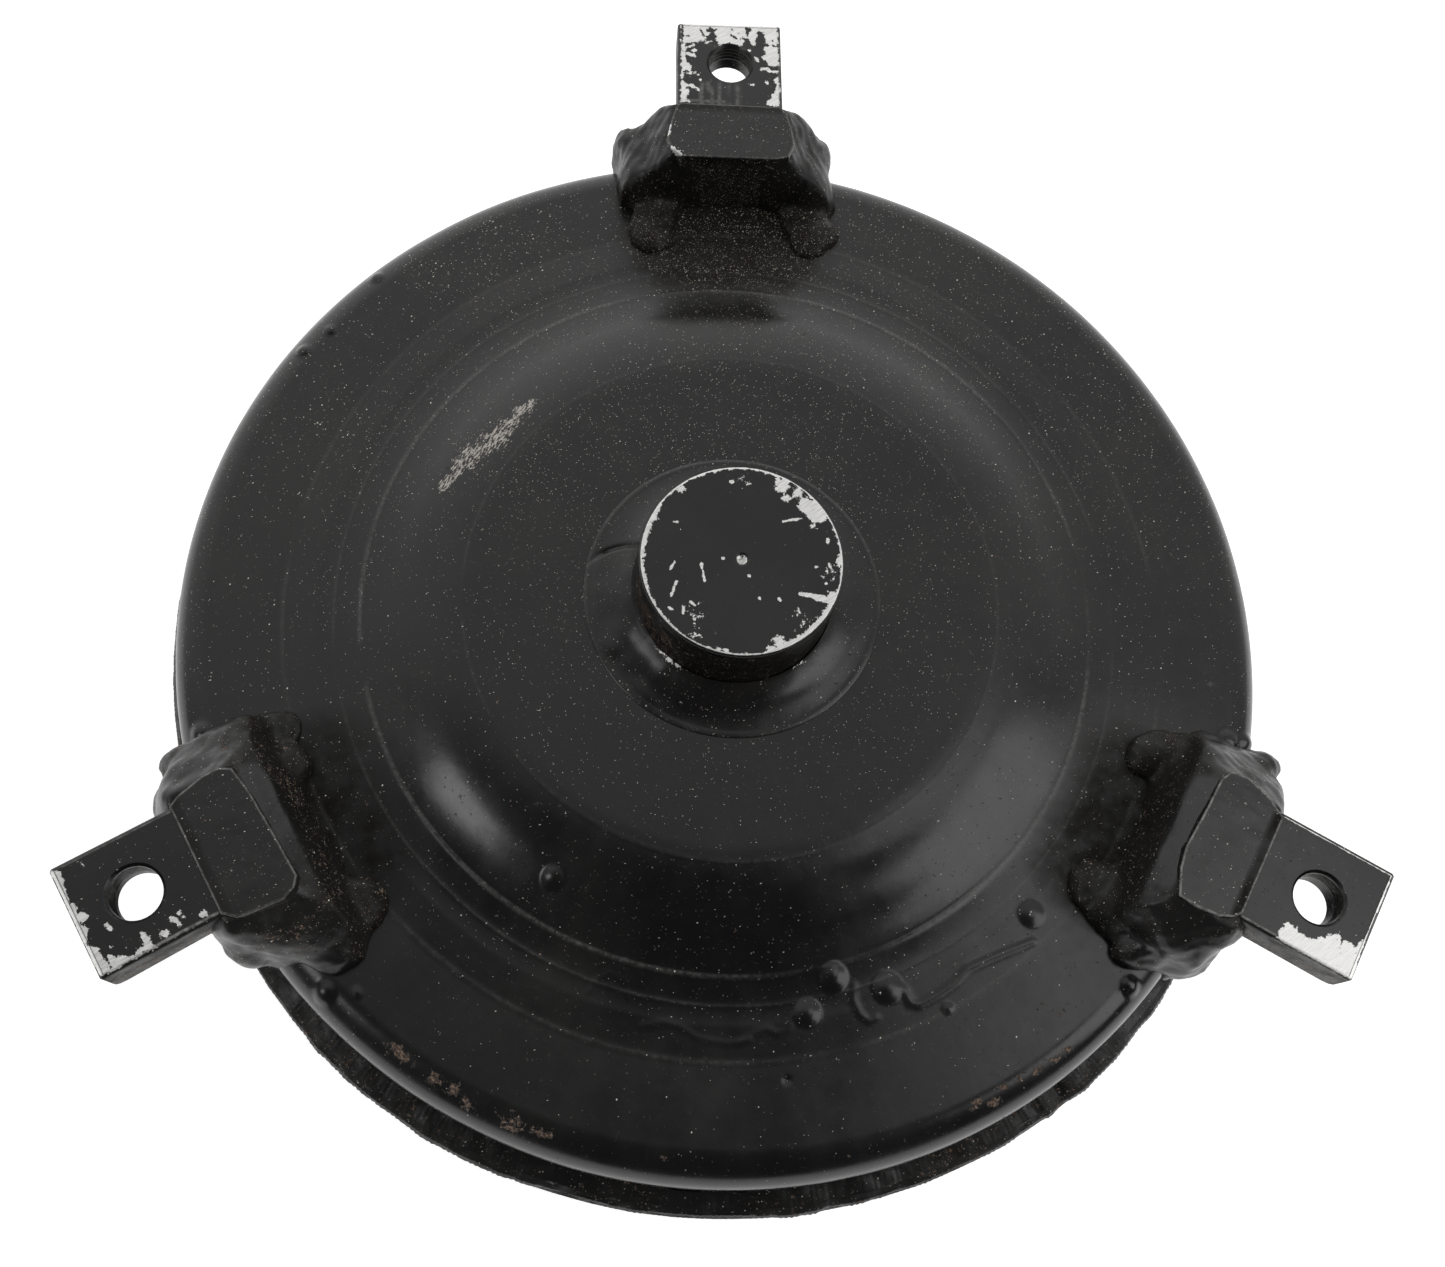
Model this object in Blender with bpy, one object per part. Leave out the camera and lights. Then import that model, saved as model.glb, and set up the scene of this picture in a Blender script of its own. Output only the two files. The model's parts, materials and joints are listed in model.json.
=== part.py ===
"""Torque converter of the three-lug, non-lock-up kind, built piece by piece.

The rotation axis is +Z and the crankshaft pilot points up.  The origin is the centre of the
pilot's end face.  Heights are measured from the plane of the widest circle of the cover's rim,
which lies PILOT_FACE_HEIGHT below the origin; level() turns them into world heights.  Units are
metres.
"""

import bmesh
import bpy
import math
from mathutils import Vector

MM = 0.001
GAP = 0.3 * MM                       # clearance left between neighbouring pieces
TOOL_REACH = 2.0 * MM                # how far a cutting tool runs past what it cuts

# ---- housing -------------------------------------------------------------------------------------
PILOT_FACE_HEIGHT = 36.3 * MM        # pilot end face above the rim plane
PILOT_RADIUS = 21.63 * MM            # 1.703 in crankshaft pilot
PILOT_CHAMFER = 0.5 * MM
PILOT_FLANGE_RADIUS = 32.0 * MM
PILOT_FLANGE_THICKNESS = 4.5 * MM
PILOT_RECESS_RADIUS = 16.0 * MM
PILOT_RECESS_DEPTH = 7.2 * MM
PILOT_WELD_RADIUS = 33.1 * MM
PILOT_WELD_EDGE = 0.3 * MM           # thickness of the weld collar at its rim

COVER_THICKNESS = 4.4 * MM
COVER_RIM_RADIUS = 124.8 * MM
COVER_CORNER_RADIUS = 7.8 * MM
PLATEAU_HEIGHT = 16.2 * MM           # raised middle of the cover
PLATEAU_RADIUS = 56.0 * MM           # where the middle starts to fall away
FOOT_HEIGHT = 8.6 * MM
FOOT_RADIUS = 92.0 * MM              # where the fall ends
STEP_HEIGHT = 8.1 * MM               # flat outer ring
STEP_RADIUS = 99.2 * MM
SKIRT_BOTTOM = -14.2 * MM            # lower end of the cover's skirt, inside the impeller's lip

LIP_RADIUS = 129.6 * MM              # impeller shell's rim outside the skirt
LIP_TOP = -9.6 * MM
LIP_TAPER = (1.0 * MM, 3.0 * MM)     # inwards and down, from the lip to the bowl
CLOSURE_WELD_OVERHANG = 0.3 * MM
SHELL_THICKNESS = 3.6 * MM

HUB_RADIUS = 23.8 * MM               # 1.875 in hub that drives the oil pump
HUB_BORE_RADIUS = 19.0 * MM
HUB_END_HEIGHT = -104.7 * MM
HUB_FLANGE_RADIUS = 45.0 * MM
HUB_FLANGE_TOP = -41.8 * MM
HUB_FLANGE_THICKNESS = 6.0 * MM
HUB_LEAD_IN = 0.8 * MM
HUB_WELD_WIDTH = 6.8 * MM
HUB_WELD_HEIGHT = 6.6 * MM
DRIVE_SLOT_WIDTH = 12.8 * MM
DRIVE_SLOT_DEPTH = 10.0 * MM

# ---- mounting lugs -------------------------------------------------------------------------------
BOLT_CIRCLE_RADIUS = 136.525 * MM    # 10.75 in bolt circle
LUG_AZIMUTHS = (90.0, 210.0, 330.0)  # degrees
LUG_TOP = 26.55 * MM
TAB_WIDTH = 24.1 * MM
TAB_THICKNESS = 7.7 * MM
TAB_END_RADIUS = 148.3 * MM
TAB_BEVEL = 0.6 * MM
BLOCK_INNER_RADIUS = 108.3 * MM
BLOCK_OUTER_RADIUS = 124.0 * MM
BLOCK_HALF_WIDTH = 15.2 * MM
BLOCK_DRAFT = 1.6 * MM               # how much wider the block is at its foot
BOLT_HOLE_RADIUS = 5.5 * MM          # 7/16 in bolt
BOLT_COUNTERSINK = 0.7 * MM
BOLT_HOLE_FACETS = 20
LUG_WELD_HALF_WIDTH = 26.5 * MM
LUG_WELD_INWARDS = 9.0 * MM          # how far the weld's foot reaches beyond the block
LUG_WELD_OUTWARDS = 3.2 * MM
LUG_WELD_CROWN = 2.2 * MM            # thickness of the weld at its top

# ---- fluid circuit -------------------------------------------------------------------------------
TORUS_RADIUS = 86.0 * MM             # radius of the circuit's middle
IMPELLER_CENTRE = -28.0 * MM
IMPELLER_INSIDE = (34.5 * MM, 29.5 * MM)    # half axes of the shell's inner face
TURBINE_CENTRE = -27.0 * MM
TURBINE_OUTSIDE = (32.5 * MM, 26.8 * MM)
TURBINE_THICKNESS = 2.2 * MM
CORE_OUTSIDE = (13.0 * MM, 9.5 * MM)
CORE_THICKNESS = 1.4 * MM
VANE_THICKNESS = 1.0 * MM
VANE_CLEARANCE = 0.7 * MM            # between a vane's edge and its shell
IMPELLER_VANES = 31
TURBINE_VANES = 29
VANE_FIRST_ANGLE = 3.0               # degrees round the circuit's section, from the outer split
VANE_LAST_ANGLE = 132.0
IMPELLER_SWEEP = 9.0                 # degrees that a vane leans over its length
TURBINE_SWEEP = 24.0

# ---- turbine hub ---------------------------------------------------------------------------------
TURBINE_HUB_RADIUS = 24.0 * MM
TURBINE_HUB_TOP = 4.1 * MM
TURBINE_HUB_BOTTOM = -14.3 * MM
TURBINE_FLANGE_TOP = -6.2 * MM
TURBINE_FLANGE_BOTTOM = -11.2 * MM
TURBINE_FLANGE_RADIUS = 52.0 * MM
TURBINE_SHELL_FLANGE_TOP = -11.5 * MM
TURBINE_SHELL_FLANGE_BOTTOM = -13.5 * MM
RIVET_COUNT = 6
RIVET_CIRCLE_RADIUS = 43.0 * MM
RIVET_RADIUS = 2.6 * MM
RIVET_HEAD_RADIUS = 4.4 * MM
RIVET_HEAD_HEIGHT = 1.8 * MM
TURBINE_SHELL_BORE_RADIUS = 34.0 * MM

# ---- stator and its one-way clutch ---------------------------------------------------------------
STATOR_BLADES = 13
STATOR_BORE_RADIUS = 46.3 * MM
STATOR_HUB_RADIUS = 54.0 * MM
STATOR_TOP = -18.2 * MM
STATOR_BOTTOM = -38.0 * MM
STATOR_WEB_TOP = -36.0 * MM
STATOR_WEB_RADIUS = 33.5 * MM
SHROUD_INNER_RADIUS = 71.5 * MM
SHROUD_OUTER_RADIUS = 74.3 * MM
BLADE_STAGGER = 38.0                 # degrees
BLADE_CHORD = 17.0 * MM
BLADE_THICKNESS = 3.4 * MM
BLADE_CAMBER = 3.0 * MM
SHROUD_INSET = 1.6 * MM              # the shroud's edges inside the hub's faces
SNAP_RING_GROOVE = (-18.8 * MM, -20.6 * MM)
SNAP_RING_GROOVE_RADIUS = 47.6 * MM
SNAP_RING_DEPTH = 2.6 * MM           # how far the ring stands into the bore
SNAP_RING_SWEEP = 340.0              # degrees, open at its gap

RACE_RADIUS = 31.0 * MM
RACE_TOP = -19.4 * MM
RACE_BOTTOM = -36.4 * MM
RACE_SPLINE = (17.0 * MM, 18.3 * MM, 14)      # minor radius, major radius, teeth
TURBINE_SPLINE = (13.6 * MM, 14.8 * MM, 14)
CAM_TOP = -21.9 * MM
CAM_BOTTOM = -34.4 * MM
CAM_LAND_RADIUS = 33.0 * MM
POCKET_START = -8.6                  # degrees from the roller's centre to the shallow end
POCKET_END = 26.6
POCKET_WALL = 0.4                    # degrees that a pocket's end wall leans
POCKET_CLEARANCE = 0.35 * MM
POCKET_RISE = 1.1 * MM               # how much deeper the pocket is at its far end
ROLLER_COUNT = 8
ROLLER_RADIUS = 4.0 * MM
ROLLER_CIRCLE_RADIUS = 35.2 * MM
ROLLER_END_PLAY = 0.1 * MM
SPRING_SPAN = (8.2, 25.6)            # degrees from the roller's centre
SPRING_FOLDS = 6
SPRING_HALF_STRIP = 0.7 * MM         # along the radius, where the strip folds back
SPRING_END_CLEARANCE = 1.6 * MM
PLATE_THICKNESS = 1.0 * MM
PLATE_CLEARANCE = 0.5 * MM

BEARING_INNER_RADIUS = 20.5 * MM
BEARING_OUTER_RADIUS = 29.7 * MM
BEARING_NEEDLES = 12
NEEDLE_RADIUS = 1.1 * MM
CAGE_HALF_THICKNESS = 0.5 * MM
CAGE_INSET = 0.4 * MM                # the cage's edges inside the washers'
WASHER_THICKNESS = 0.9 * MM
THICK_WASHER_THICKNESS = 1.1 * MM    # the washer that rests on the pump hub

# ---- facets --------------------------------------------------------------------------------------
WIDE_FACETS = 40                     # for the large shells
MIDDLE_FACETS = 32
SMALL_FACETS = 24


# ---- scene and materials -------------------------------------------------------------------------
def clear_scene():
    for item in list(bpy.data.objects):
        bpy.data.objects.remove(item, do_unlink=True)


def make_material(name, colour, roughness, metallic):
    material = bpy.data.materials.new(name)
    material.use_nodes = True
    shader = material.node_tree.nodes["Principled BSDF"]
    shader.inputs["Base Color"].default_value = (*colour, 1.0)
    shader.inputs["Roughness"].default_value = roughness
    shader.inputs["Metallic"].default_value = metallic
    material.diffuse_color = (*colour, 1.0)
    return material


def make_materials():
    return {
        "black_paint": make_material("black_paint", (0.022, 0.022, 0.023), 0.32, 0.0),
        "weld_paint": make_material("weld_paint", (0.018, 0.018, 0.018), 0.38, 0.0),
        "pressed_steel": make_material("pressed_steel", (0.42, 0.41, 0.39), 0.42, 1.0),
        "machined_steel": make_material("machined_steel", (0.58, 0.57, 0.55), 0.28, 1.0),
        "hardened_steel": make_material("hardened_steel", (0.66, 0.66, 0.67), 0.18, 1.0),
        "spring_steel": make_material("spring_steel", (0.36, 0.37, 0.40), 0.30, 1.0),
        "cast_aluminium": make_material("cast_aluminium", (0.72, 0.72, 0.71), 0.48, 1.0),
        "bronze": make_material("bronze", (0.62, 0.44, 0.22), 0.38, 1.0),
        "brazed_steel": make_material("brazed_steel", (0.50, 0.45, 0.37), 0.45, 1.0),
    }


# ---- mesh helpers --------------------------------------------------------------------------------
def level(height):
    """Height above the rim plane, turned into a world height."""
    return height - PILOT_FACE_HEIGHT


def finish_mesh(name, work, smooth_angle=30.0):
    bmesh.ops.remove_doubles(work, verts=work.verts, dist=1e-7)
    bmesh.ops.recalc_face_normals(work, faces=work.faces)
    mesh = bpy.data.meshes.new(name)
    work.to_mesh(mesh)
    work.free()
    mesh.shade_smooth()
    mesh.set_sharp_from_angle(angle=math.radians(smooth_angle))
    return mesh


def add_object(name, mesh, material, location=(0.0, 0.0, 0.0), turn=0.0):
    item = bpy.data.objects.new(name, mesh)
    if material is not None and not mesh.materials:
        mesh.materials.append(material)
    item.location = location
    item.rotation_euler = (0.0, 0.0, turn)
    bpy.context.scene.collection.objects.link(item)
    return item


def stack_loops(work, loops, close_round=True, cap=False):
    """Joins equally long loops of vertices with quads; a loop of loops when close_round is set."""
    count = len(loops)
    size = len(loops[0])
    last = count if close_round else count - 1
    for index in range(last):
        here = loops[index]
        there = loops[(index + 1) % count]
        for step in range(size):
            after = (step + 1) % size
            corners = [here[step], here[after], there[after], there[step]]
            distinct = list(dict.fromkeys(corners))
            if len(distinct) >= 3:
                work.faces.new(distinct)
    if cap:
        work.faces.new(loops[0])
        work.faces.new(loops[-1])


def turned_mesh(name, profile, facets, sweep=360.0, smooth_angle=30.0):
    """Solid of revolution of a closed (radius, height) outline, with end caps if it isn't full."""
    work = bmesh.new()
    full = sweep >= 360.0
    stations = facets if full else facets + 1
    loops = []
    for index in range(stations):
        angle = math.radians(sweep) * index / facets
        loop = []
        for step, (radius, height) in enumerate(profile):
            on_axis = radius < 1e-9
            if on_axis and loops:
                loop.append(loops[0][step])
            else:
                place = (radius * math.cos(angle), radius * math.sin(angle), level(height))
                loop.append(work.verts.new(place))
        loops.append(loop)
    stack_loops(work, loops, close_round=full, cap=not full)
    return finish_mesh(name, work, smooth_angle)


def ring_prism_mesh(name, outer, inner, top, bottom, smooth_angle=30.0):
    """Prism between two outlines with the same number of points, hollow in the middle."""
    work = bmesh.new()
    rings = []
    for outline, height in ((outer, top), (inner, top), (inner, bottom), (outer, bottom)):
        rings.append([work.verts.new((x, y, level(height))) for x, y in outline])
    stack_loops(work, rings, close_round=True)
    return finish_mesh(name, work, smooth_angle)


def prism_mesh(name, outline, top, bottom, spread=0.0, smooth_angle=30.0):
    """Solid prism of an outline; its foot may be wider by a spread on every side."""
    centre = sum((Vector(point) for point in outline), Vector((0.0, 0.0))) / len(outline)
    work = bmesh.new()
    upper = [work.verts.new((x, y, level(top))) for x, y in outline]
    lower = []
    for x, y in outline:
        away = (Vector((x, y)) - centre).normalized() * spread
        lower.append(work.verts.new((x + away.x, y + away.y, level(bottom))))
    stack_loops(work, [upper, lower], close_round=False, cap=True)
    return finish_mesh(name, work, smooth_angle)


def polar(radius, degrees):
    angle = math.radians(degrees)
    return (radius * math.cos(angle), radius * math.sin(angle))


def arc_points(centre, radii, first, last, steps):
    """Points on an ellipse's arc, both ends included; angles in degrees."""
    points = []
    for index in range(steps + 1):
        angle = math.radians(first + (last - first) * index / steps)
        points.append((centre[0] + radii[0] * math.cos(angle), centre[1] + radii[1] * math.sin(angle)))
    return points


def ogee_points(start, end, steps):
    """Two equal arcs that leave one level and reach the next one, tangent to both."""
    across = end[0] - start[0]
    drop = start[1] - end[1]
    tilt = 2.0 * math.atan2(drop, across)
    radius = 0.5 * across / math.sin(tilt)
    points = []
    for index in range(steps + 1):
        angle = tilt * index / steps
        points.append((start[0] + radius * math.sin(angle), start[1] - radius * (1.0 - math.cos(angle))))
    for index in range(steps - 1, -1, -1):
        angle = tilt * index / steps
        points.append((end[0] - radius * math.sin(angle), end[1] + radius * (1.0 - math.cos(angle))))
    return points


def cutter(name, mesh):
    item = add_object(name, mesh, None)
    item.hide_render = True
    item.display_type = "WIRE"
    return item


def combine(item, other, operation):
    modifier = item.modifiers.new(operation.lower(), "BOOLEAN")
    modifier.operation = operation
    modifier.object = other
    modifier.solver = "EXACT"


def cylinders_mesh(name, centres, radius, top, bottom, facets):
    """Several upright cylinders in one mesh, used together as a tool."""
    work = bmesh.new()
    for x, y in centres:
        upper = []
        lower = []
        for index in range(facets):
            dx, dy = polar(radius, 360.0 * index / facets)
            upper.append(work.verts.new((x + dx, y + dy, level(top))))
            lower.append(work.verts.new((x + dx, y + dy, level(bottom))))
        stack_loops(work, [upper, lower], close_round=False, cap=True)
    return finish_mesh(name, work)


# ---- housing -------------------------------------------------------------------------------------
def cover_outline():
    fall = ogee_points((PLATEAU_RADIUS, PLATEAU_HEIGHT), (FOOT_RADIUS, FOOT_HEIGHT), 3)
    bore = PILOT_RADIUS + GAP
    corner = (COVER_RIM_RADIUS - COVER_CORNER_RADIUS, STEP_HEIGHT - COVER_CORNER_RADIUS)
    inside_corner = COVER_CORNER_RADIUS - COVER_THICKNESS
    inside_wall = COVER_RIM_RADIUS - COVER_THICKNESS
    outside = [(bore, PLATEAU_HEIGHT)] + fall + [(STEP_RADIUS, STEP_HEIGHT)]
    outside += arc_points(corner, (COVER_CORNER_RADIUS, COVER_CORNER_RADIUS), 90.0, 0.0, 4)
    skirt = [(COVER_RIM_RADIUS, SKIRT_BOTTOM), (inside_wall, SKIRT_BOTTOM)]
    inside = arc_points(corner, (inside_corner, inside_corner), 0.0, 90.0, 2)
    inside += [(STEP_RADIUS, STEP_HEIGHT - COVER_THICKNESS)]
    inside += [(radius, height - COVER_THICKNESS) for radius, height in reversed(fall)]
    inside += [(bore, PLATEAU_HEIGHT - COVER_THICKNESS)]
    return outside + skirt + inside


def make_front_cover(paint):
    add_object("front_cover", turned_mesh("front_cover", cover_outline(), WIDE_FACETS), paint)


def make_pilot_hub(steel):
    face = PILOT_FACE_HEIGHT
    flange_top = PLATEAU_HEIGHT - COVER_THICKNESS - GAP
    flange_bottom = flange_top - PILOT_FLANGE_THICKNESS
    profile = [
        (0.0, face),
        (PILOT_RADIUS - PILOT_CHAMFER, face),
        (PILOT_RADIUS, face - PILOT_CHAMFER),
        (PILOT_RADIUS, flange_top),
        (PILOT_FLANGE_RADIUS, flange_top),
        (PILOT_FLANGE_RADIUS, flange_bottom),
        (PILOT_RECESS_RADIUS, flange_bottom),
        (PILOT_RECESS_RADIUS, flange_bottom + PILOT_RECESS_DEPTH),
        (0.0, flange_bottom + PILOT_RECESS_DEPTH),
    ]
    add_object("pilot_hub", turned_mesh("pilot_hub", profile, MIDDLE_FACETS), steel)


def make_pilot_weld(paint):
    inner = PILOT_RADIUS + GAP
    base = PLATEAU_HEIGHT + GAP
    profile = [
        (inner, base),
        (PILOT_WELD_RADIUS, base),
        (PILOT_WELD_RADIUS, base + PILOT_WELD_EDGE),
        (inner + 5.5 * MM, base + 0.6 * MM),
        (inner + 2.2 * MM, base + 1.6 * MM),
        (inner, base + 3.4 * MM),
    ]
    add_object("pilot_weld", turned_mesh("pilot_weld", profile, MIDDLE_FACETS), paint)


def make_closure_weld(paint):
    inner = COVER_RIM_RADIUS + GAP
    base = LIP_TOP + GAP
    profile = [
        (inner, base),
        (LIP_RADIUS + CLOSURE_WELD_OVERHANG, base),
        (LIP_RADIUS - 0.9 * MM, base + 2.0 * MM),
        (inner + 1.6 * MM, base + 3.4 * MM),
        (inner, base + 3.7 * MM),
    ]
    add_object("closure_weld", turned_mesh("closure_weld", profile, WIDE_FACETS), paint)


def impeller_outline():
    centre = (TORUS_RADIUS, IMPELLER_CENTRE)
    across, deep = IMPELLER_INSIDE
    outside = (across + SHELL_THICKNESS, deep + SHELL_THICKNESS)
    lip_inner = COVER_RIM_RADIUS + GAP
    hole = HUB_RADIUS + GAP
    hub_face = HUB_FLANGE_TOP - HUB_FLANGE_THICKNESS - GAP
    shoulder = SKIRT_BOTTOM - GAP
    points = [
        (lip_inner, LIP_TOP),
        (LIP_RADIUS, LIP_TOP),
        (LIP_RADIUS, shoulder),
        (LIP_RADIUS - LIP_TAPER[0], shoulder - LIP_TAPER[1]),
    ]
    points += arc_points(centre, outside, -2.0, -143.0, 7)
    points += [
        (HUB_FLANGE_RADIUS + 3.0 * MM, hub_face - SHELL_THICKNESS + 0.3 * MM),
        (HUB_FLANGE_RADIUS - 4.0 * MM, hub_face - SHELL_THICKNESS),
        (hole, hub_face - SHELL_THICKNESS),
        (hole, hub_face),
        (HUB_FLANGE_RADIUS + 2.0 * MM, hub_face),
        (HUB_FLANGE_RADIUS + 7.0 * MM, hub_face + 0.8 * MM),
    ]
    points += arc_points(centre, IMPELLER_INSIDE, -145.0, 0.0, 6)
    points += [(TORUS_RADIUS + across, shoulder), (lip_inner, shoulder)]
    return points


def make_impeller_shell(paint):
    add_object("impeller_shell", turned_mesh("impeller_shell", impeller_outline(), WIDE_FACETS), paint)


def make_impeller_hub(steel):
    flange_bottom = HUB_FLANGE_TOP - HUB_FLANGE_THICKNESS
    profile = [
        (HUB_BORE_RADIUS, HUB_FLANGE_TOP),
        (HUB_FLANGE_RADIUS, HUB_FLANGE_TOP),
        (HUB_FLANGE_RADIUS, flange_bottom),
        (HUB_RADIUS, flange_bottom),
        (HUB_RADIUS, HUB_END_HEIGHT + HUB_LEAD_IN),
        (HUB_RADIUS - HUB_LEAD_IN, HUB_END_HEIGHT),
        (HUB_BORE_RADIUS, HUB_END_HEIGHT),
    ]
    hub = add_object("impeller_hub", turned_mesh("impeller_hub", profile, MIDDLE_FACETS), steel)
    reach = HUB_RADIUS + TOOL_REACH
    half = 0.5 * DRIVE_SLOT_WIDTH
    outline = [(-reach, -half), (reach, -half), (reach, half), (-reach, half)]
    slot_top = HUB_END_HEIGHT + DRIVE_SLOT_DEPTH
    slot = cutter("drive_slot_tool", prism_mesh("drive_slot_tool", outline, slot_top,
                                                HUB_END_HEIGHT - TOOL_REACH))
    combine(hub, slot, "DIFFERENCE")


def make_hub_weld(paint):
    inner = HUB_RADIUS + GAP
    base = HUB_FLANGE_TOP - HUB_FLANGE_THICKNESS - SHELL_THICKNESS - 2.0 * GAP
    profile = [
        (inner, base),
        (inner + HUB_WELD_WIDTH, base),
        (inner + 0.79 * HUB_WELD_WIDTH, base - 0.26 * HUB_WELD_HEIGHT),
        (inner + 0.35 * HUB_WELD_WIDTH, base - 0.58 * HUB_WELD_HEIGHT),
        (inner, base - HUB_WELD_HEIGHT),
    ]
    add_object("hub_weld", turned_mesh("hub_weld", profile, MIDDLE_FACETS), paint)


# ---- mounting lugs -------------------------------------------------------------------------------
def block_outline(grow=0.0):
    """The lug block from above, with the radial direction along +X."""
    corner = BLOCK_HALF_WIDTH + grow
    inner = BLOCK_INNER_RADIUS - grow
    outer = BLOCK_OUTER_RADIUS + grow
    half = [
        (inner, 0.68 * corner),
        (BLOCK_INNER_RADIUS + 3.5 * MM, corner),
        (BLOCK_OUTER_RADIUS - 2.1 * MM, corner - 1.3 * MM),
        (outer, 0.5 * TAB_WIDTH + grow),
    ]
    return half + [(x, -y) for x, y in reversed(half)]


def lug_foot():
    return STEP_HEIGHT + GAP


def mounting_lug_mesh():
    block = add_object("lug_block_tool", prism_mesh("lug_block_tool", block_outline(), LUG_TOP,
                                                    lug_foot(), BLOCK_DRAFT), None)
    half = 0.5 * TAB_WIDTH
    start = 0.5 * (BLOCK_INNER_RADIUS + BLOCK_OUTER_RADIUS)
    outline = [
        (start, -half),
        (TAB_END_RADIUS - TAB_BEVEL, -half),
        (TAB_END_RADIUS, -half + TAB_BEVEL),
        (TAB_END_RADIUS, half - TAB_BEVEL),
        (TAB_END_RADIUS - TAB_BEVEL, half),
        (start, half),
    ]
    tab = cutter("lug_tab_tool", prism_mesh("lug_tab_tool", outline, LUG_TOP, LUG_TOP - TAB_THICKNESS))
    below = LUG_TOP - TAB_THICKNESS - TOOL_REACH
    hole_profile = [
        (0.0, LUG_TOP + TOOL_REACH),
        (BOLT_HOLE_RADIUS + BOLT_COUNTERSINK + TOOL_REACH, LUG_TOP + TOOL_REACH),
        (BOLT_HOLE_RADIUS, LUG_TOP - BOLT_COUNTERSINK),
        (BOLT_HOLE_RADIUS, below),
        (0.0, below),
    ]
    hole = cutter("bolt_hole_tool", turned_mesh("bolt_hole_tool", hole_profile, BOLT_HOLE_FACETS))
    hole.location = (BOLT_CIRCLE_RADIUS, 0.0, 0.0)
    combine(block, tab, "UNION")
    combine(block, hole, "DIFFERENCE")
    bpy.context.view_layer.update()
    shaped = block.evaluated_get(bpy.context.evaluated_depsgraph_get())
    mesh = bpy.data.meshes.new_from_object(shaped)
    mesh.name = "mounting_lug"
    mesh.materials.clear()
    for tool in (block, tab, hole):
        bpy.data.objects.remove(tool, do_unlink=True)
    return mesh


def lug_weld_mesh():
    """A bank of weld metal round the lug's foot, wide at the cover and thin at its top."""
    inner = block_outline(BLOCK_DRAFT + 2.0 * GAP)
    foot_inner = BLOCK_INNER_RADIUS - LUG_WELD_INWARDS
    foot_outer = BLOCK_OUTER_RADIUS + LUG_WELD_OUTWARDS
    half_foot = [
        (foot_inner, 0.45 * LUG_WELD_HALF_WIDTH),
        (BLOCK_INNER_RADIUS - 1.0 * MM, LUG_WELD_HALF_WIDTH),
        (BLOCK_OUTER_RADIUS - 6.0 * MM, LUG_WELD_HALF_WIDTH),
        (foot_outer, 0.62 * LUG_WELD_HALF_WIDTH),
    ]
    foot = half_foot + [(x, -y) for x, y in reversed(half_foot)]
    crown = block_outline(BLOCK_DRAFT + LUG_WELD_CROWN)
    work = bmesh.new()
    crown_height = LUG_TOP - TAB_THICKNESS - 2.0 * GAP
    rings = []
    for outline, height in ((foot, lug_foot()), (crown, crown_height), (inner, crown_height),
                            (inner, lug_foot())):
        rings.append([work.verts.new((x, y, level(height))) for x, y in outline])
    stack_loops(work, rings, close_round=True)
    return finish_mesh("lug_weld", work)


def make_lugs(lug_paint, weld_paint):
    lug = mounting_lug_mesh()
    lug.materials.append(lug_paint)
    weld = lug_weld_mesh()
    weld.materials.append(weld_paint)
    for number, azimuth in enumerate(LUG_AZIMUTHS, start=1):
        turn = math.radians(azimuth)
        add_object(f"mounting_lug_{number}", lug, lug_paint, turn=turn)
        add_object(f"lug_weld_{number}", weld, weld_paint, turn=turn)


# ---- vaned wheels --------------------------------------------------------------------------------
def vane_station(centre_height, side, radii, degrees):
    """A point of the circuit's section; side is +1 for the turbine and -1 for the impeller."""
    angle = math.radians(degrees)
    return (TORUS_RADIUS + radii[0] * math.cos(angle), centre_height + side * radii[1] * math.sin(angle))


def vanes_mesh(name, count, centre_height, side, outer_radii, inner_radii, sweep):
    stations = 3
    work = bmesh.new()
    for number in range(count):
        loops = []
        for index in range(stations + 1):
            part = index / stations
            degrees = VANE_FIRST_ANGLE + (VANE_LAST_ANGLE - VANE_FIRST_ANGLE) * part
            lean = math.radians(sweep) * (part * part - part * 0.35)
            turn = 2.0 * math.pi * number / count + side * lean
            loop = []
            for radii, offset in ((outer_radii, -0.5), (outer_radii, 0.5), (inner_radii, 0.5),
                                  (inner_radii, -0.5)):
                radius, height = vane_station(centre_height, side, radii, degrees)
                shift = offset * VANE_THICKNESS
                x = radius * math.cos(turn) - shift * math.sin(turn)
                y = radius * math.sin(turn) + shift * math.cos(turn)
                loop.append(work.verts.new((x, y, level(height))))
            loops.append(loop)
        stack_loops(work, loops, close_round=False, cap=True)
    return finish_mesh(name, work)


def core_outline(centre_height, side):
    inside = (CORE_OUTSIDE[0] - CORE_THICKNESS, CORE_OUTSIDE[1] - CORE_THICKNESS)
    steps = 3
    points = []
    for index in range(steps + 1):
        degrees = VANE_FIRST_ANGLE + (VANE_LAST_ANGLE - VANE_FIRST_ANGLE) * index / steps
        points.append(vane_station(centre_height, side, CORE_OUTSIDE, degrees))
    for index in range(steps, -1, -1):
        degrees = VANE_FIRST_ANGLE + (VANE_LAST_ANGLE - VANE_FIRST_ANGLE) * index / steps
        points.append(vane_station(centre_height, side, inside, degrees))
    return points


def make_vane_wheel(name, count, centre_height, side, outer_radii, sweep, material):
    """A core ring with its vanes standing on it."""
    middle = (CORE_OUTSIDE[0] - 0.5 * CORE_THICKNESS, CORE_OUTSIDE[1] - 0.5 * CORE_THICKNESS)
    core = turned_mesh(name, core_outline(centre_height, side), SMALL_FACETS)
    wheel = add_object(name, core, material)
    vanes = vanes_mesh(name + "_vanes_tool", count, centre_height, side, outer_radii, middle, sweep)
    combine(wheel, cutter(name + "_vanes_tool", vanes), "UNION")


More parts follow.
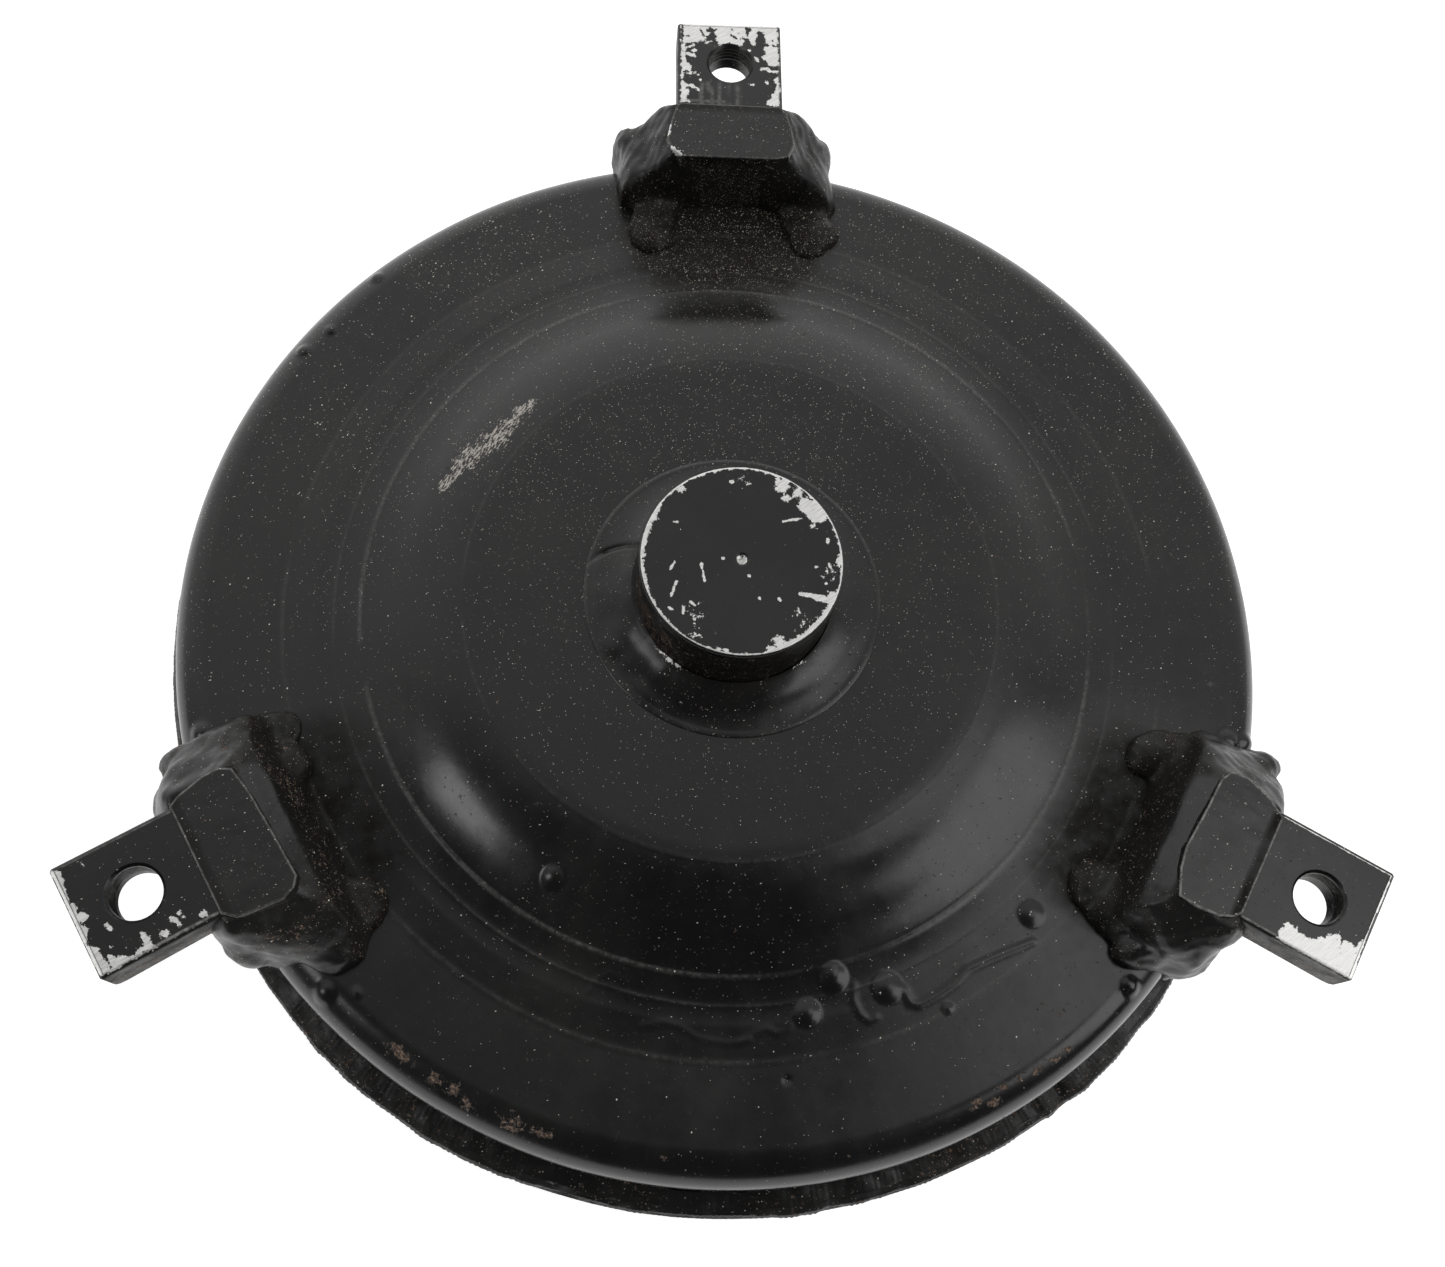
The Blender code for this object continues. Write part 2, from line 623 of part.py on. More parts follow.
def make_impeller_vane_wheel(material):
    radii = tuple(half_axis - VANE_CLEARANCE for half_axis in IMPELLER_INSIDE)
    make_vane_wheel("impeller_vane_wheel", IMPELLER_VANES, IMPELLER_CENTRE, -1, radii,
                    IMPELLER_SWEEP, material)


def make_turbine_vane_wheel(material):
    radii = tuple(half_axis - TURBINE_THICKNESS - VANE_CLEARANCE for half_axis in TURBINE_OUTSIDE)
    make_vane_wheel("turbine_vane_wheel", TURBINE_VANES, TURBINE_CENTRE, 1, radii,
                    TURBINE_SWEEP, material)


# ---- turbine -------------------------------------------------------------------------------------
def rivet_places():
    return [polar(RIVET_CIRCLE_RADIUS, 360.0 * index / RIVET_COUNT) for index in range(RIVET_COUNT)]


def rivet_holes(name):
    mesh = cylinders_mesh(name, rivet_places(), RIVET_RADIUS + GAP, TURBINE_FLANGE_TOP + TOOL_REACH,
                          TURBINE_SHELL_FLANGE_BOTTOM - TOOL_REACH, 8)
    return cutter(name, mesh)


def make_turbine_shell(material):
    centre = (TORUS_RADIUS, TURBINE_CENTRE)
    inside = (TURBINE_OUTSIDE[0] - TURBINE_THICKNESS, TURBINE_OUTSIDE[1] - TURBINE_THICKNESS)
    top = TURBINE_SHELL_FLANGE_TOP
    bottom = TURBINE_SHELL_FLANGE_BOTTOM
    bore = TURBINE_SHELL_BORE_RADIUS
    edge = TURBINE_FLANGE_RADIUS
    profile = arc_points(centre, TURBINE_OUTSIDE, 0.0, 146.0, 6)
    profile += [(edge + 4.0 * MM, top - 0.1 * MM), (edge + 1.5 * MM, top), (bore, top), (bore, bottom)]
    profile += [(edge + 2.5 * MM, bottom), (edge + 7.5 * MM, bottom - 0.3 * MM)]
    profile += arc_points(centre, inside, 142.0, 0.0, 6)
    shell = add_object("turbine_shell", turned_mesh("turbine_shell", profile, WIDE_FACETS), material)
    combine(shell, rivet_holes("shell_rivet_tool"), "DIFFERENCE")


def spline_outlines(spline, outer_radius):
    """Matching outlines of a round outside and a splined bore."""
    minor, major, teeth = spline
    pitch = 360.0 / teeth
    outer = []
    inner = []
    for index in range(teeth):
        for share, radius in ((0.0, minor), (0.42, minor), (0.52, major), (0.90, major)):
            degrees = pitch * (index + share)
            inner.append(polar(radius, degrees))
            outer.append(polar(outer_radius, degrees))
    return outer, inner


def make_turbine_hub(material):
    outer, inner = spline_outlines(TURBINE_SPLINE, TURBINE_HUB_RADIUS)
    mesh = ring_prism_mesh("turbine_hub", outer, inner, TURBINE_HUB_TOP, TURBINE_HUB_BOTTOM)
    hub = add_object("turbine_hub", mesh, material)
    buried = TURBINE_HUB_RADIUS - 2.0 * MM
    profile = [
        (buried, TURBINE_FLANGE_TOP),
        (TURBINE_FLANGE_RADIUS, TURBINE_FLANGE_TOP),
        (TURBINE_FLANGE_RADIUS, TURBINE_FLANGE_BOTTOM),
        (buried, TURBINE_FLANGE_BOTTOM),
    ]
    flange = cutter("turbine_flange_tool", turned_mesh("turbine_flange_tool", profile, MIDDLE_FACETS))
    combine(hub, flange, "UNION")
    combine(hub, rivet_holes("hub_rivet_tool"), "DIFFERENCE")


def make_turbine_rivets(material):
    upper = TURBINE_FLANGE_TOP + GAP
    lower = TURBINE_SHELL_FLANGE_BOTTOM - GAP
    profile = [
        (0.0, upper + RIVET_HEAD_HEIGHT),
        (0.6 * RIVET_HEAD_RADIUS, upper + RIVET_HEAD_HEIGHT),
        (RIVET_HEAD_RADIUS, upper),
        (RIVET_RADIUS, upper),
        (RIVET_RADIUS, lower),
        (RIVET_HEAD_RADIUS, lower),
        (0.6 * RIVET_HEAD_RADIUS, lower - RIVET_HEAD_HEIGHT),
        (0.0, lower - RIVET_HEAD_HEIGHT),
    ]
    mesh = turned_mesh("turbine_rivet", profile, 8)
    for number, (x, y) in enumerate(rivet_places(), start=1):
        add_object(f"turbine_rivet_{number}", mesh, material, location=(x, y, 0.0))


def make_front_thrust_washer(material):
    top = PLATEAU_HEIGHT - COVER_THICKNESS - GAP - PILOT_FLANGE_THICKNESS - GAP
    bottom = TURBINE_HUB_TOP + GAP
    inner = PILOT_RECESS_RADIUS + 1.5 * MM
    outer = PILOT_FLANGE_RADIUS - 2.0 * MM
    profile = [(inner, top), (outer, top), (outer, bottom), (inner, bottom)]
    mesh = turned_mesh("front_thrust_washer", profile, SMALL_FACETS)
    add_object("front_thrust_washer", mesh, material)


# ---- stator --------------------------------------------------------------------------------------
def blade_outline():
    """A cambered blade section, chord along the axis; (tangential, axial) from its middle."""
    upper = []
    lower = []
    steps = 4
    for index in range(steps + 1):
        share = index / steps
        along = (share - 0.5) * BLADE_CHORD
        bow = BLADE_CAMBER * 4.0 * share * (1.0 - share)
        half = 0.5 * BLADE_THICKNESS * (1.785 * math.sqrt(share) * (1.0 - share) + 0.12)
        upper.append((bow + half, along))
        lower.append((bow - half, along))
    return upper + lower[::-1]


def stator_blades_mesh(name):
    tilt = math.radians(BLADE_STAGGER)
    middle = 0.5 * (STATOR_TOP + STATOR_BOTTOM)
    root = STATOR_HUB_RADIUS - 1.5 * MM
    tip = SHROUD_INNER_RADIUS + 0.8 * MM
    work = bmesh.new()
    for number in range(STATOR_BLADES):
        turn = 2.0 * math.pi * number / STATOR_BLADES
        loops = []
        for radius in (root, tip):
            loop = []
            for across, along in blade_outline():
                side = across * math.cos(tilt) + along * math.sin(tilt)
                height = middle - across * math.sin(tilt) + along * math.cos(tilt)
                x = radius * math.cos(turn) - side * math.sin(turn)
                y = radius * math.sin(turn) + side * math.cos(turn)
                loop.append(work.verts.new((x, y, level(height))))
            loops.append(loop)
        stack_loops(work, loops, close_round=False, cap=True)
    return finish_mesh(name, work)


def make_stator_wheel(material):
    groove_top, groove_bottom = SNAP_RING_GROOVE
    hub_profile = [
        (STATOR_BORE_RADIUS, STATOR_TOP),
        (STATOR_HUB_RADIUS, STATOR_TOP),
        (STATOR_HUB_RADIUS, STATOR_BOTTOM),
        (STATOR_WEB_RADIUS, STATOR_BOTTOM),
        (STATOR_WEB_RADIUS, STATOR_WEB_TOP),
        (STATOR_BORE_RADIUS, STATOR_WEB_TOP),
        (STATOR_BORE_RADIUS, groove_bottom),
        (SNAP_RING_GROOVE_RADIUS, groove_bottom),
        (SNAP_RING_GROOVE_RADIUS, groove_top),
        (STATOR_BORE_RADIUS, groove_top),
    ]
    shroud_profile = [
        (SHROUD_INNER_RADIUS, STATOR_TOP - SHROUD_INSET),
        (SHROUD_OUTER_RADIUS, STATOR_TOP - SHROUD_INSET),
        (SHROUD_OUTER_RADIUS, STATOR_BOTTOM + SHROUD_INSET),
        (SHROUD_INNER_RADIUS, STATOR_BOTTOM + SHROUD_INSET),
    ]
    wheel = add_object("stator_wheel", turned_mesh("stator_wheel", hub_profile, MIDDLE_FACETS), material)
    shroud = turned_mesh("stator_shroud_tool", shroud_profile, MIDDLE_FACETS)
    combine(wheel, cutter("stator_blades_tool", stator_blades_mesh("stator_blades_tool")), "UNION")
    combine(wheel, cutter("stator_shroud_tool", shroud), "UNION")


def make_clutch_cam(material):
    """The outer race: each pocket deepens away from its roller, so the roller wedges one way only."""
    shallow = ROLLER_CIRCLE_RADIUS + ROLLER_RADIUS + POCKET_CLEARANCE
    steps = 4
    pocket = [(POCKET_START - POCKET_WALL, CAM_LAND_RADIUS)]
    for index in range(steps + 1):
        share = index / steps
        degrees = POCKET_START + (POCKET_END - POCKET_START) * share
        pocket.append((degrees, shallow + POCKET_RISE * share))
    land_middle = 0.5 * (POCKET_END + 360.0 / ROLLER_COUNT + POCKET_START)
    pocket += [(POCKET_END + POCKET_WALL, CAM_LAND_RADIUS), (land_middle, CAM_LAND_RADIUS)]
    outer = []
    inner = []
    for index in range(ROLLER_COUNT):
        for degrees, radius in pocket:
            angle = 360.0 * index / ROLLER_COUNT + degrees
            inner.append(polar(radius, angle))
            outer.append(polar(STATOR_BORE_RADIUS - GAP, angle))
    mesh = ring_prism_mesh("clutch_cam", outer, inner, CAM_TOP, CAM_BOTTOM)
    add_object("clutch_cam", mesh, material)


def make_clutch_inner_race(material):
    outer, inner = spline_outlines(RACE_SPLINE, RACE_RADIUS)
    mesh = ring_prism_mesh("clutch_inner_race", outer, inner, RACE_TOP, RACE_BOTTOM)
    add_object("clutch_inner_race", mesh, material)


def make_clutch_rollers(material):
    top = CAM_TOP - ROLLER_END_PLAY
    bottom = CAM_BOTTOM + ROLLER_END_PLAY
    mesh = cylinders_mesh("clutch_roller", [(0.0, 0.0)], ROLLER_RADIUS, top, bottom, 12)
    for index in range(ROLLER_COUNT):
        x, y = polar(ROLLER_CIRCLE_RADIUS, 360.0 * index / ROLLER_COUNT)
        add_object(f"clutch_roller_{index + 1}", mesh, material, location=(x, y, 0.0))


def make_clutch_springs(material):
    """Accordion springs, folded strips that push the rollers up their ramps."""
    first, last = SPRING_SPAN
    inner_radius = ROLLER_CIRCLE_RADIUS - 0.25 * ROLLER_RADIUS
    outer_radius = ROLLER_CIRCLE_RADIUS + 0.75 * ROLLER_RADIUS
    top = CAM_TOP - SPRING_END_CLEARANCE
    bottom = CAM_BOTTOM + SPRING_END_CLEARANCE
    work = bmesh.new()
    loops = []
    for index in range(SPRING_FOLDS + 1):
        degrees = first + (last - first) * index / SPRING_FOLDS
        radius = outer_radius if index % 2 else inner_radius
        loop = []
        for side, height in ((1, top), (-1, top), (-1, bottom), (1, bottom)):
            x, y = polar(radius + side * SPRING_HALF_STRIP, degrees)
            loop.append(work.verts.new((x, y, level(height))))
        loops.append(loop)
    stack_loops(work, loops, close_round=False, cap=True)
    mesh = finish_mesh("clutch_spring", work)
    for index in range(ROLLER_COUNT):
        turn = 2.0 * math.pi * index / ROLLER_COUNT
        add_object(f"clutch_spring_{index + 1}", mesh, material, turn=turn)


def make_clutch_plates(material, ring_material):
    inner = RACE_RADIUS + PLATE_CLEARANCE
    outer = STATOR_BORE_RADIUS - GAP
    for name, top in (("clutch_front_plate", CAM_TOP + GAP + PLATE_THICKNESS),
                      ("clutch_rear_plate", CAM_BOTTOM - GAP)):
        bottom = top - PLATE_THICKNESS
        profile = [(inner, top), (outer, top), (outer, bottom), (inner, bottom)]
        add_object(name, turned_mesh(name, profile, MIDDLE_FACETS), material)
    groove_top, groove_bottom = SNAP_RING_GROOVE
    ring_outer = SNAP_RING_GROOVE_RADIUS - GAP
    ring_inner = STATOR_BORE_RADIUS - SNAP_RING_DEPTH
    profile = [(ring_inner, groove_top - GAP), (ring_outer, groove_top - GAP),
               (ring_outer, groove_bottom + GAP), (ring_inner, groove_bottom + GAP)]
    mesh = turned_mesh("snap_ring", profile, SMALL_FACETS, sweep=SNAP_RING_SWEEP)
    add_object("snap_ring", mesh, ring_material)


# ---- thrust bearings -----------------------------------------------------------------------------
def washer(name, top, thickness, material):
    bottom = top - thickness
    profile = [(BEARING_INNER_RADIUS, top), (BEARING_OUTER_RADIUS, top),
               (BEARING_OUTER_RADIUS, bottom), (BEARING_INNER_RADIUS, bottom)]
    add_object(name, turned_mesh(name, profile, SMALL_FACETS), material)


def needle_cage(name, middle, material):
    """A thin cage with its needles showing as radial ridges on both faces."""
    steps = 4
    work = bmesh.new()
    loops = []
    inner = BEARING_INNER_RADIUS + CAGE_INSET
    outer = BEARING_OUTER_RADIUS - CAGE_INSET
    for index in range(BEARING_NEEDLES * steps):
        angle = 2.0 * math.pi * index / (BEARING_NEEDLES * steps)
        half = NEEDLE_RADIUS if index % steps in (1, 2) else CAGE_HALF_THICKNESS
        loop = []
        for radius, height in ((inner, middle + half), (outer, middle + half), (outer, middle - half),
                               (inner, middle - half)):
            place = (radius * math.cos(angle), radius * math.sin(angle), level(height))
            loop.append(work.verts.new(place))
        loops.append(loop)
    stack_loops(work, loops, close_round=True)
    add_object(name, finish_mesh(name, work), material)


def make_bearing(end, upper, lower, lower_thickness, race_material, cage_material):
    """Two race washers against the faces at two heights, with a needle cage midway between them."""
    cage_room_top = upper - GAP - WASHER_THICKNESS
    cage_room_bottom = lower + GAP + lower_thickness
    washer(f"{end}_bearing_front_race", upper - GAP, WASHER_THICKNESS, race_material)
    needle_cage(f"{end}_bearing_needle_cage", 0.5 * (cage_room_top + cage_room_bottom), cage_material)
    washer(f"{end}_bearing_rear_race", cage_room_bottom, lower_thickness, race_material)


def make_bearings(race_material, cage_material):
    make_bearing("front", TURBINE_HUB_BOTTOM, RACE_TOP, WASHER_THICKNESS, race_material, cage_material)
    make_bearing("rear", RACE_BOTTOM, HUB_FLANGE_TOP, THICK_WASHER_THICKNESS, race_material,
                 cage_material)


# ---- assembly ------------------------------------------------------------------------------------
def make_housing(materials):
    make_front_cover(materials["black_paint"])
    make_pilot_hub(materials["black_paint"])
    make_pilot_weld(materials["weld_paint"])
    make_lugs(materials["black_paint"], materials["weld_paint"])
    make_closure_weld(materials["weld_paint"])
    make_impeller_shell(materials["black_paint"])
    make_impeller_vane_wheel(materials["brazed_steel"])
    make_impeller_hub(materials["machined_steel"])
    make_hub_weld(materials["weld_paint"])


def make_turbine(materials):
    make_turbine_shell(materials["pressed_steel"])
    make_turbine_vane_wheel(materials["brazed_steel"])
    make_turbine_hub(materials["machined_steel"])
    make_turbine_rivets(materials["machined_steel"])
    make_front_thrust_washer(materials["bronze"])


def make_stator(materials):
    make_stator_wheel(materials["cast_aluminium"])
    make_clutch_cam(materials["hardened_steel"])
    make_clutch_inner_race(materials["hardened_steel"])
    make_clutch_rollers(materials["hardened_steel"])
    make_clutch_springs(materials["spring_steel"])
    make_clutch_plates(materials["bronze"], materials["spring_steel"])
    make_bearings(materials["hardened_steel"], materials["spring_steel"])


def main():
    clear_scene()
    materials = make_materials()
    make_housing(materials)
    make_turbine(materials)
    make_stator(materials)


main()
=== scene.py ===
"""Looks of a three-lug torque converter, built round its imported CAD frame.

Lengths in this script are millimetres.  Heights are counted from the plane of the widest circle of
the cover's rim, and azimuths in degrees from +X.  On a lug, "out" is the distance from the rotation
axis along the lug, "side" the distance across it, and "height" as everywhere else.
"""

import bmesh
import bpy
import json
import math
import numpy as np
from mathutils import Matrix, Vector


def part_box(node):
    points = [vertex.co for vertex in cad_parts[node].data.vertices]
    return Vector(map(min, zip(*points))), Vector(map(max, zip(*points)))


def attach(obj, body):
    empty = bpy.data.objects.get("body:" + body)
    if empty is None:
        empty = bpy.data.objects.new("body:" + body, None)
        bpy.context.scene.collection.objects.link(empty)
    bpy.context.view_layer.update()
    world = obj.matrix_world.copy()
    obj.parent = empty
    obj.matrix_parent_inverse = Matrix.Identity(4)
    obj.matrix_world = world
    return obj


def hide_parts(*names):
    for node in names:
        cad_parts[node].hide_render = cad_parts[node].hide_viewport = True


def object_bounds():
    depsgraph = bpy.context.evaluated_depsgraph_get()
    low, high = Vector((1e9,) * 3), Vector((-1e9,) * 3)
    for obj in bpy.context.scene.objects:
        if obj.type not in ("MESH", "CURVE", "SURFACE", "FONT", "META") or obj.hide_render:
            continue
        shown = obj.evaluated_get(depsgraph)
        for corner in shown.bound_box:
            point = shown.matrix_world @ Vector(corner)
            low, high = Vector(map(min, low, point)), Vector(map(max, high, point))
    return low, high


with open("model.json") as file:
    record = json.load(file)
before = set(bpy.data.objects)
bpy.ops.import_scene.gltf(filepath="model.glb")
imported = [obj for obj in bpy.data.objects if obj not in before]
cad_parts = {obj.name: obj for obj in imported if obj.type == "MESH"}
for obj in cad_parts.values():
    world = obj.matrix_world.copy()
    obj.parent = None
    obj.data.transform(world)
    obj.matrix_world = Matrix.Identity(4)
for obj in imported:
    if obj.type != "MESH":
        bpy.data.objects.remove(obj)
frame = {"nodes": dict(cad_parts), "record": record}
cad_low, cad_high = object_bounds()

MM = 0.001

# ---- driving dimensions --------------------------------------------------------------------------
PLATEAU_HEIGHT = 16.2
PLATEAU_RADIUS = 56.0
FOOT_HEIGHT = 8.6
FOOT_RADIUS = 92.0
STEP_HEIGHT = 8.1
STEP_RADIUS = 99.2
CORNER_RADIUS = 7.8
COVER_THICKNESS = 4.4
SKIRT_BOTTOM = -14.2
RIM_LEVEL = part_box("front_cover")[1].z / MM - PLATEAU_HEIGHT
ROUNDING_ALLOWANCE = 1.2             # a rounded rim looks this much wider than a sharp one
RIM_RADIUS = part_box("front_cover")[1].x / MM - ROUNDING_ALLOWANCE
PILOT_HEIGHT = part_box("pilot_hub")[1].z / MM - RIM_LEVEL
PILOT_RADIUS = 21.63
LIP_RADIUS = 128.8
LIP_TOP = -9.6
HUB_RADIUS = 23.8
HUB_BORE_RADIUS = 19.0
HUB_END = cad_low.z / MM - RIM_LEVEL
HUB_FACE = -48.1                     # inner face of the shell's flat middle
DRIVE_SLOT_HALF_WIDTH = 6.4
DRIVE_SLOT_DEPTH = 10.0
TORUS_RADIUS = 86.0
IMPELLER_CENTRE = -28.0
IMPELLER_INSIDE = (34.5, 29.5)
SHELL_THICKNESS = 3.6
LUG_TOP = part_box("mounting_lug_1")[1].z / MM - RIM_LEVEL
TAB_ROUNDING = 0.8                   # of the edges of a tab's face
DRILL_RADIUS = 5.25
BLOCK_EDGE = 124.0                   # how far out the block's top reaches
STEP_AT_TAB = 0.5                    # the tab's face lies this much below the block's top
TAB_ROOT = 112.0                     # how far out a tab starts, inside its block
TAB_TOP = LUG_TOP - STEP_AT_TAB
TAB_CELL = 0.42                      # cells that a tab's mesh is cut into
WELD_GRID = 0.55                     # cells that the lug welds are made in
BODY = "housing"


# ---- numbers -------------------------------------------------------------------------------------
def lattice_noise(points, cell, seed):
    """Smooth noise from -1 to 1 with one random value at each corner of a grid of cells."""
    scaled = np.asarray(points, float) / cell
    base = np.floor(scaled).astype(np.int64)
    part = scaled - base
    part = part * part * (3.0 - 2.0 * part)
    total = np.zeros(len(scaled))
    for corner in range(8):
        offset = np.array([corner & 1, corner >> 1 & 1, corner >> 2 & 1])
        key = base + offset
        mixed = key[:, 0] * 73856093 ^ key[:, 1] * 19349663 ^ key[:, 2] * 83492791 ^ seed * 40503
        mixed = (mixed ^ mixed >> 13) * 1274126177 & 0x7FFFFFFF
        mixed = (mixed ^ mixed >> 11) * 668265263 & 0x7FFFFFFF
        weight = np.prod(np.where(offset == 1, part, 1.0 - part), axis=1)
        total += weight * (mixed / 0x3FFFFFFF - 1.0)
    return total


def fractal_noise(points, cell, seed, octaves=3):
    total = 0.0
    for octave in range(octaves):
        total = total + lattice_noise(points, cell / 2.0 ** octave, seed + octave) * 0.55 ** octave
    return total


def smooth_step(value, low, high):
    share = np.clip((value - low) / (high - low), 0.0, 1.0)
    return share * share * (3.0 - 2.0 * share)


def smooth_max(a, b, blend):
    share = np.clip(0.5 + 0.5 * (a - b) / blend, 0.0, 1.0)
    return b + (a - b) * share + blend * share * (1.0 - share)


def smooth_min(a, b, blend):
    return -smooth_max(-a, -b, blend)


def polar(radius, azimuth):
    angle = math.radians(azimuth)
    return np.array([radius * math.cos(angle), radius * math.sin(angle)])


def distance_to_place(x, y, radius, azimuth):
    centre = polar(radius, azimuth)
    return np.hypot(x - centre[0], y - centre[1])


def turned_axes(x, y, azimuth):
    """How far places lie along an azimuth, and to its side."""
    angle = math.radians(azimuth)
    return x * math.cos(angle) + y * math.sin(angle), -x * math.sin(angle) + y * math.cos(angle)


def radius_of(points):
    return np.hypot(points[:, 0], points[:, 1])


def azimuth_of(points):
    return np.degrees(np.arctan2(points[:, 1], points[:, 0]))


def distance_to_line(x, y, line):
    """Shortest distance to a chain of straight pieces."""
    best = np.full(np.shape(x), 1e9)
    for start, end in zip(line[:-1], line[1:]):
        along = np.subtract(end, start)
        length = max(float(along @ along), 1e-9)
        share = np.clip(((x - start[0]) * along[0] + (y - start[1]) * along[1]) / length, 0.0, 1.0)
        away = np.hypot(x - start[0] - share * along[0], y - start[1] - share * along[1])
        best = np.minimum(best, away)
    return best


def outline_distance(x, y, outline):
    """Signed distance to a closed outline, negative inside."""
    ring = [np.array(point, float) for point in outline]
    ring.append(ring[0])
    inside = np.zeros(np.shape(x), bool)
    for start, end in zip(ring[:-1], ring[1:]):
        crosses = (start[1] > y) != (end[1] > y)
        slope = (end[0] - start[0]) / (end[1] - start[1] + 1e-12)
        inside ^= crosses & (x < start[0] + slope * (y - start[1]))
    away = distance_to_line(x, y, ring)
    return np.where(inside, -away, away)


# ---- outlines ------------------------------------------------------------------------------------
ARC_STEP = 9.0                       # degrees between the points of a fillet


def rounded(corners):
    """A closed chain of corners (radius, height, fillet), an arc at each one that has a fillet."""
    line = []
    count = len(corners)
    for index, corner in enumerate(corners):
        here = np.array(corner[:2], float)
        fillet = corner[2] if len(corner) > 2 else 0.0
        if fillet == 0.0:
            line.append(here)
            continue
        back = np.array(corners[index - 1][:2], float) - here
        ahead = np.array(corners[(index + 1) % count][:2], float) - here
        back /= np.linalg.norm(back)
        ahead /= np.linalg.norm(ahead)
        turn = math.pi - math.acos(float(np.clip(back @ ahead, -1.0, 1.0)))
        reach = fillet * math.tan(0.5 * turn)
        middle = (back + ahead) / np.linalg.norm(back + ahead)
        centre = here + middle * fillet / math.cos(0.5 * turn)
        first = here + back * reach - centre
        last = here + ahead * reach - centre
        steps = max(2, int(math.degrees(turn) / ARC_STEP))
        for step in range(steps + 1):
            share = step / steps
            line.append(centre + (first * math.sin((1.0 - share) * turn)
                                  + last * math.sin(share * turn)) / math.sin(turn))
    return np.array(line)


def spread(line, step, closed=True):
    """The same line with points added so that none is further than a step from the next."""
    points = []
    count = len(line)
    for index in range(count if closed else count - 1):
        here = line[index]
        there = line[(index + 1) % count]
        parts = max(1, int(math.ceil(np.linalg.norm(there - here) / step)))
        points += [here + (there - here) * part / parts for part in range(parts)]
    if not closed:
        points.append(line[-1])
    return np.array(points)


def arc(centre, radii, first, last, steps):
    angles = np.radians(np.linspace(first, last, steps + 1))
    return np.stack([centre[0] + radii[0] * np.cos(angles),
                     centre[1] + radii[1] * np.sin(angles)], 1)


def cover_height(radius):
    """Height of the cover's outer face."""
    radius = np.asarray(radius, float)
    across = FOOT_RADIUS - PLATEAU_RADIUS
    tilt = 2.0 * math.atan2(PLATEAU_HEIGHT - FOOT_HEIGHT, across)
    bend = 0.5 * across / math.sin(tilt)
    from_top = np.clip(radius - PLATEAU_RADIUS, 0.0, 0.5 * across)
    from_foot = np.clip(FOOT_RADIUS - radius, 0.0, 0.5 * across)
    upper = PLATEAU_HEIGHT - (bend - np.sqrt(bend ** 2 - from_top ** 2))
    lower = FOOT_HEIGHT + (bend - np.sqrt(bend ** 2 - from_foot ** 2))
    height = np.where(radius < 0.5 * (PLATEAU_RADIUS + FOOT_RADIUS), upper, lower)
    slope = (FOOT_HEIGHT - STEP_HEIGHT) / (STEP_RADIUS - FOOT_RADIUS)
    height = np.where(radius > FOOT_RADIUS, FOOT_HEIGHT - (radius - FOOT_RADIUS) * slope, height)
    height = np.where(radius > STEP_RADIUS, STEP_HEIGHT, height)
    corner = np.clip(radius - (RIM_RADIUS - CORNER_RADIUS), 0.0, CORNER_RADIUS)
    return height - (CORNER_RADIUS - np.sqrt(CORNER_RADIUS ** 2 - corner ** 2))


# ---- meshes --------------------------------------------------------------------------------------
def raw_mesh(name, points, quads, triangles=None):
    """A mesh of points in millimetres, its faces turned to look out."""
    world = np.array(points, float)
    world[:, 2] += RIM_LEVEL
    world *= MM
    quads = np.asarray(quads, np.int32).reshape(-1, 4)
    triangles = np.asarray([] if triangles is None else triangles, np.int32).reshape(-1, 3)
    halves = np.concatenate([quads[:, [0, 1, 2]], quads[:, [0, 2, 3]], triangles])
    corners = world[halves]
    volume = np.einsum("ij,ij->i", corners[:, 0], np.cross(corners[:, 1], corners[:, 2])).sum()
    if volume < 0.0:
        quads = quads[:, ::-1]
        triangles = triangles[:, ::-1]
    loops = np.concatenate([quads.ravel(), triangles.ravel()]).astype(np.int32)
    starts = np.concatenate([np.arange(len(quads)) * 4,
                             len(quads) * 4 + np.arange(len(triangles)) * 3])
    mesh = bpy.data.meshes.new(name)
    mesh.vertices.add(len(world))
    mesh.vertices.foreach_set("co", world.astype(np.float32).ravel())
    mesh.loops.add(len(loops))
    mesh.loops.foreach_set("vertex_index", loops)
    mesh.polygons.add(len(starts))
    mesh.polygons.foreach_set("loop_start", starts.astype(np.int32))
    mesh.update(calc_edges=True)
    mesh.validate()
    return mesh


def add_piece(name, mesh, material, slot, stands_for, smooth_angle=35.0, **fields):
    """Puts a mesh in the scene as a piece of the housing, with fields of numbers at its points."""
    mesh.shade_smooth()
    mesh.set_sharp_from_angle(angle=math.radians(smooth_angle))
    for field, values in fields.items():
        kept = mesh.attributes.new(field, "FLOAT", "POINT")
        kept.data.foreach_set("value", np.clip(values, 0.0, 1.0).astype(np.float32))
    mesh.materials.append(material)
    piece = bpy.data.objects.new(name, mesh)
    bpy.context.scene.collection.objects.link(piece)
    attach(piece, BODY)
    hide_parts(stands_for)
    return piece


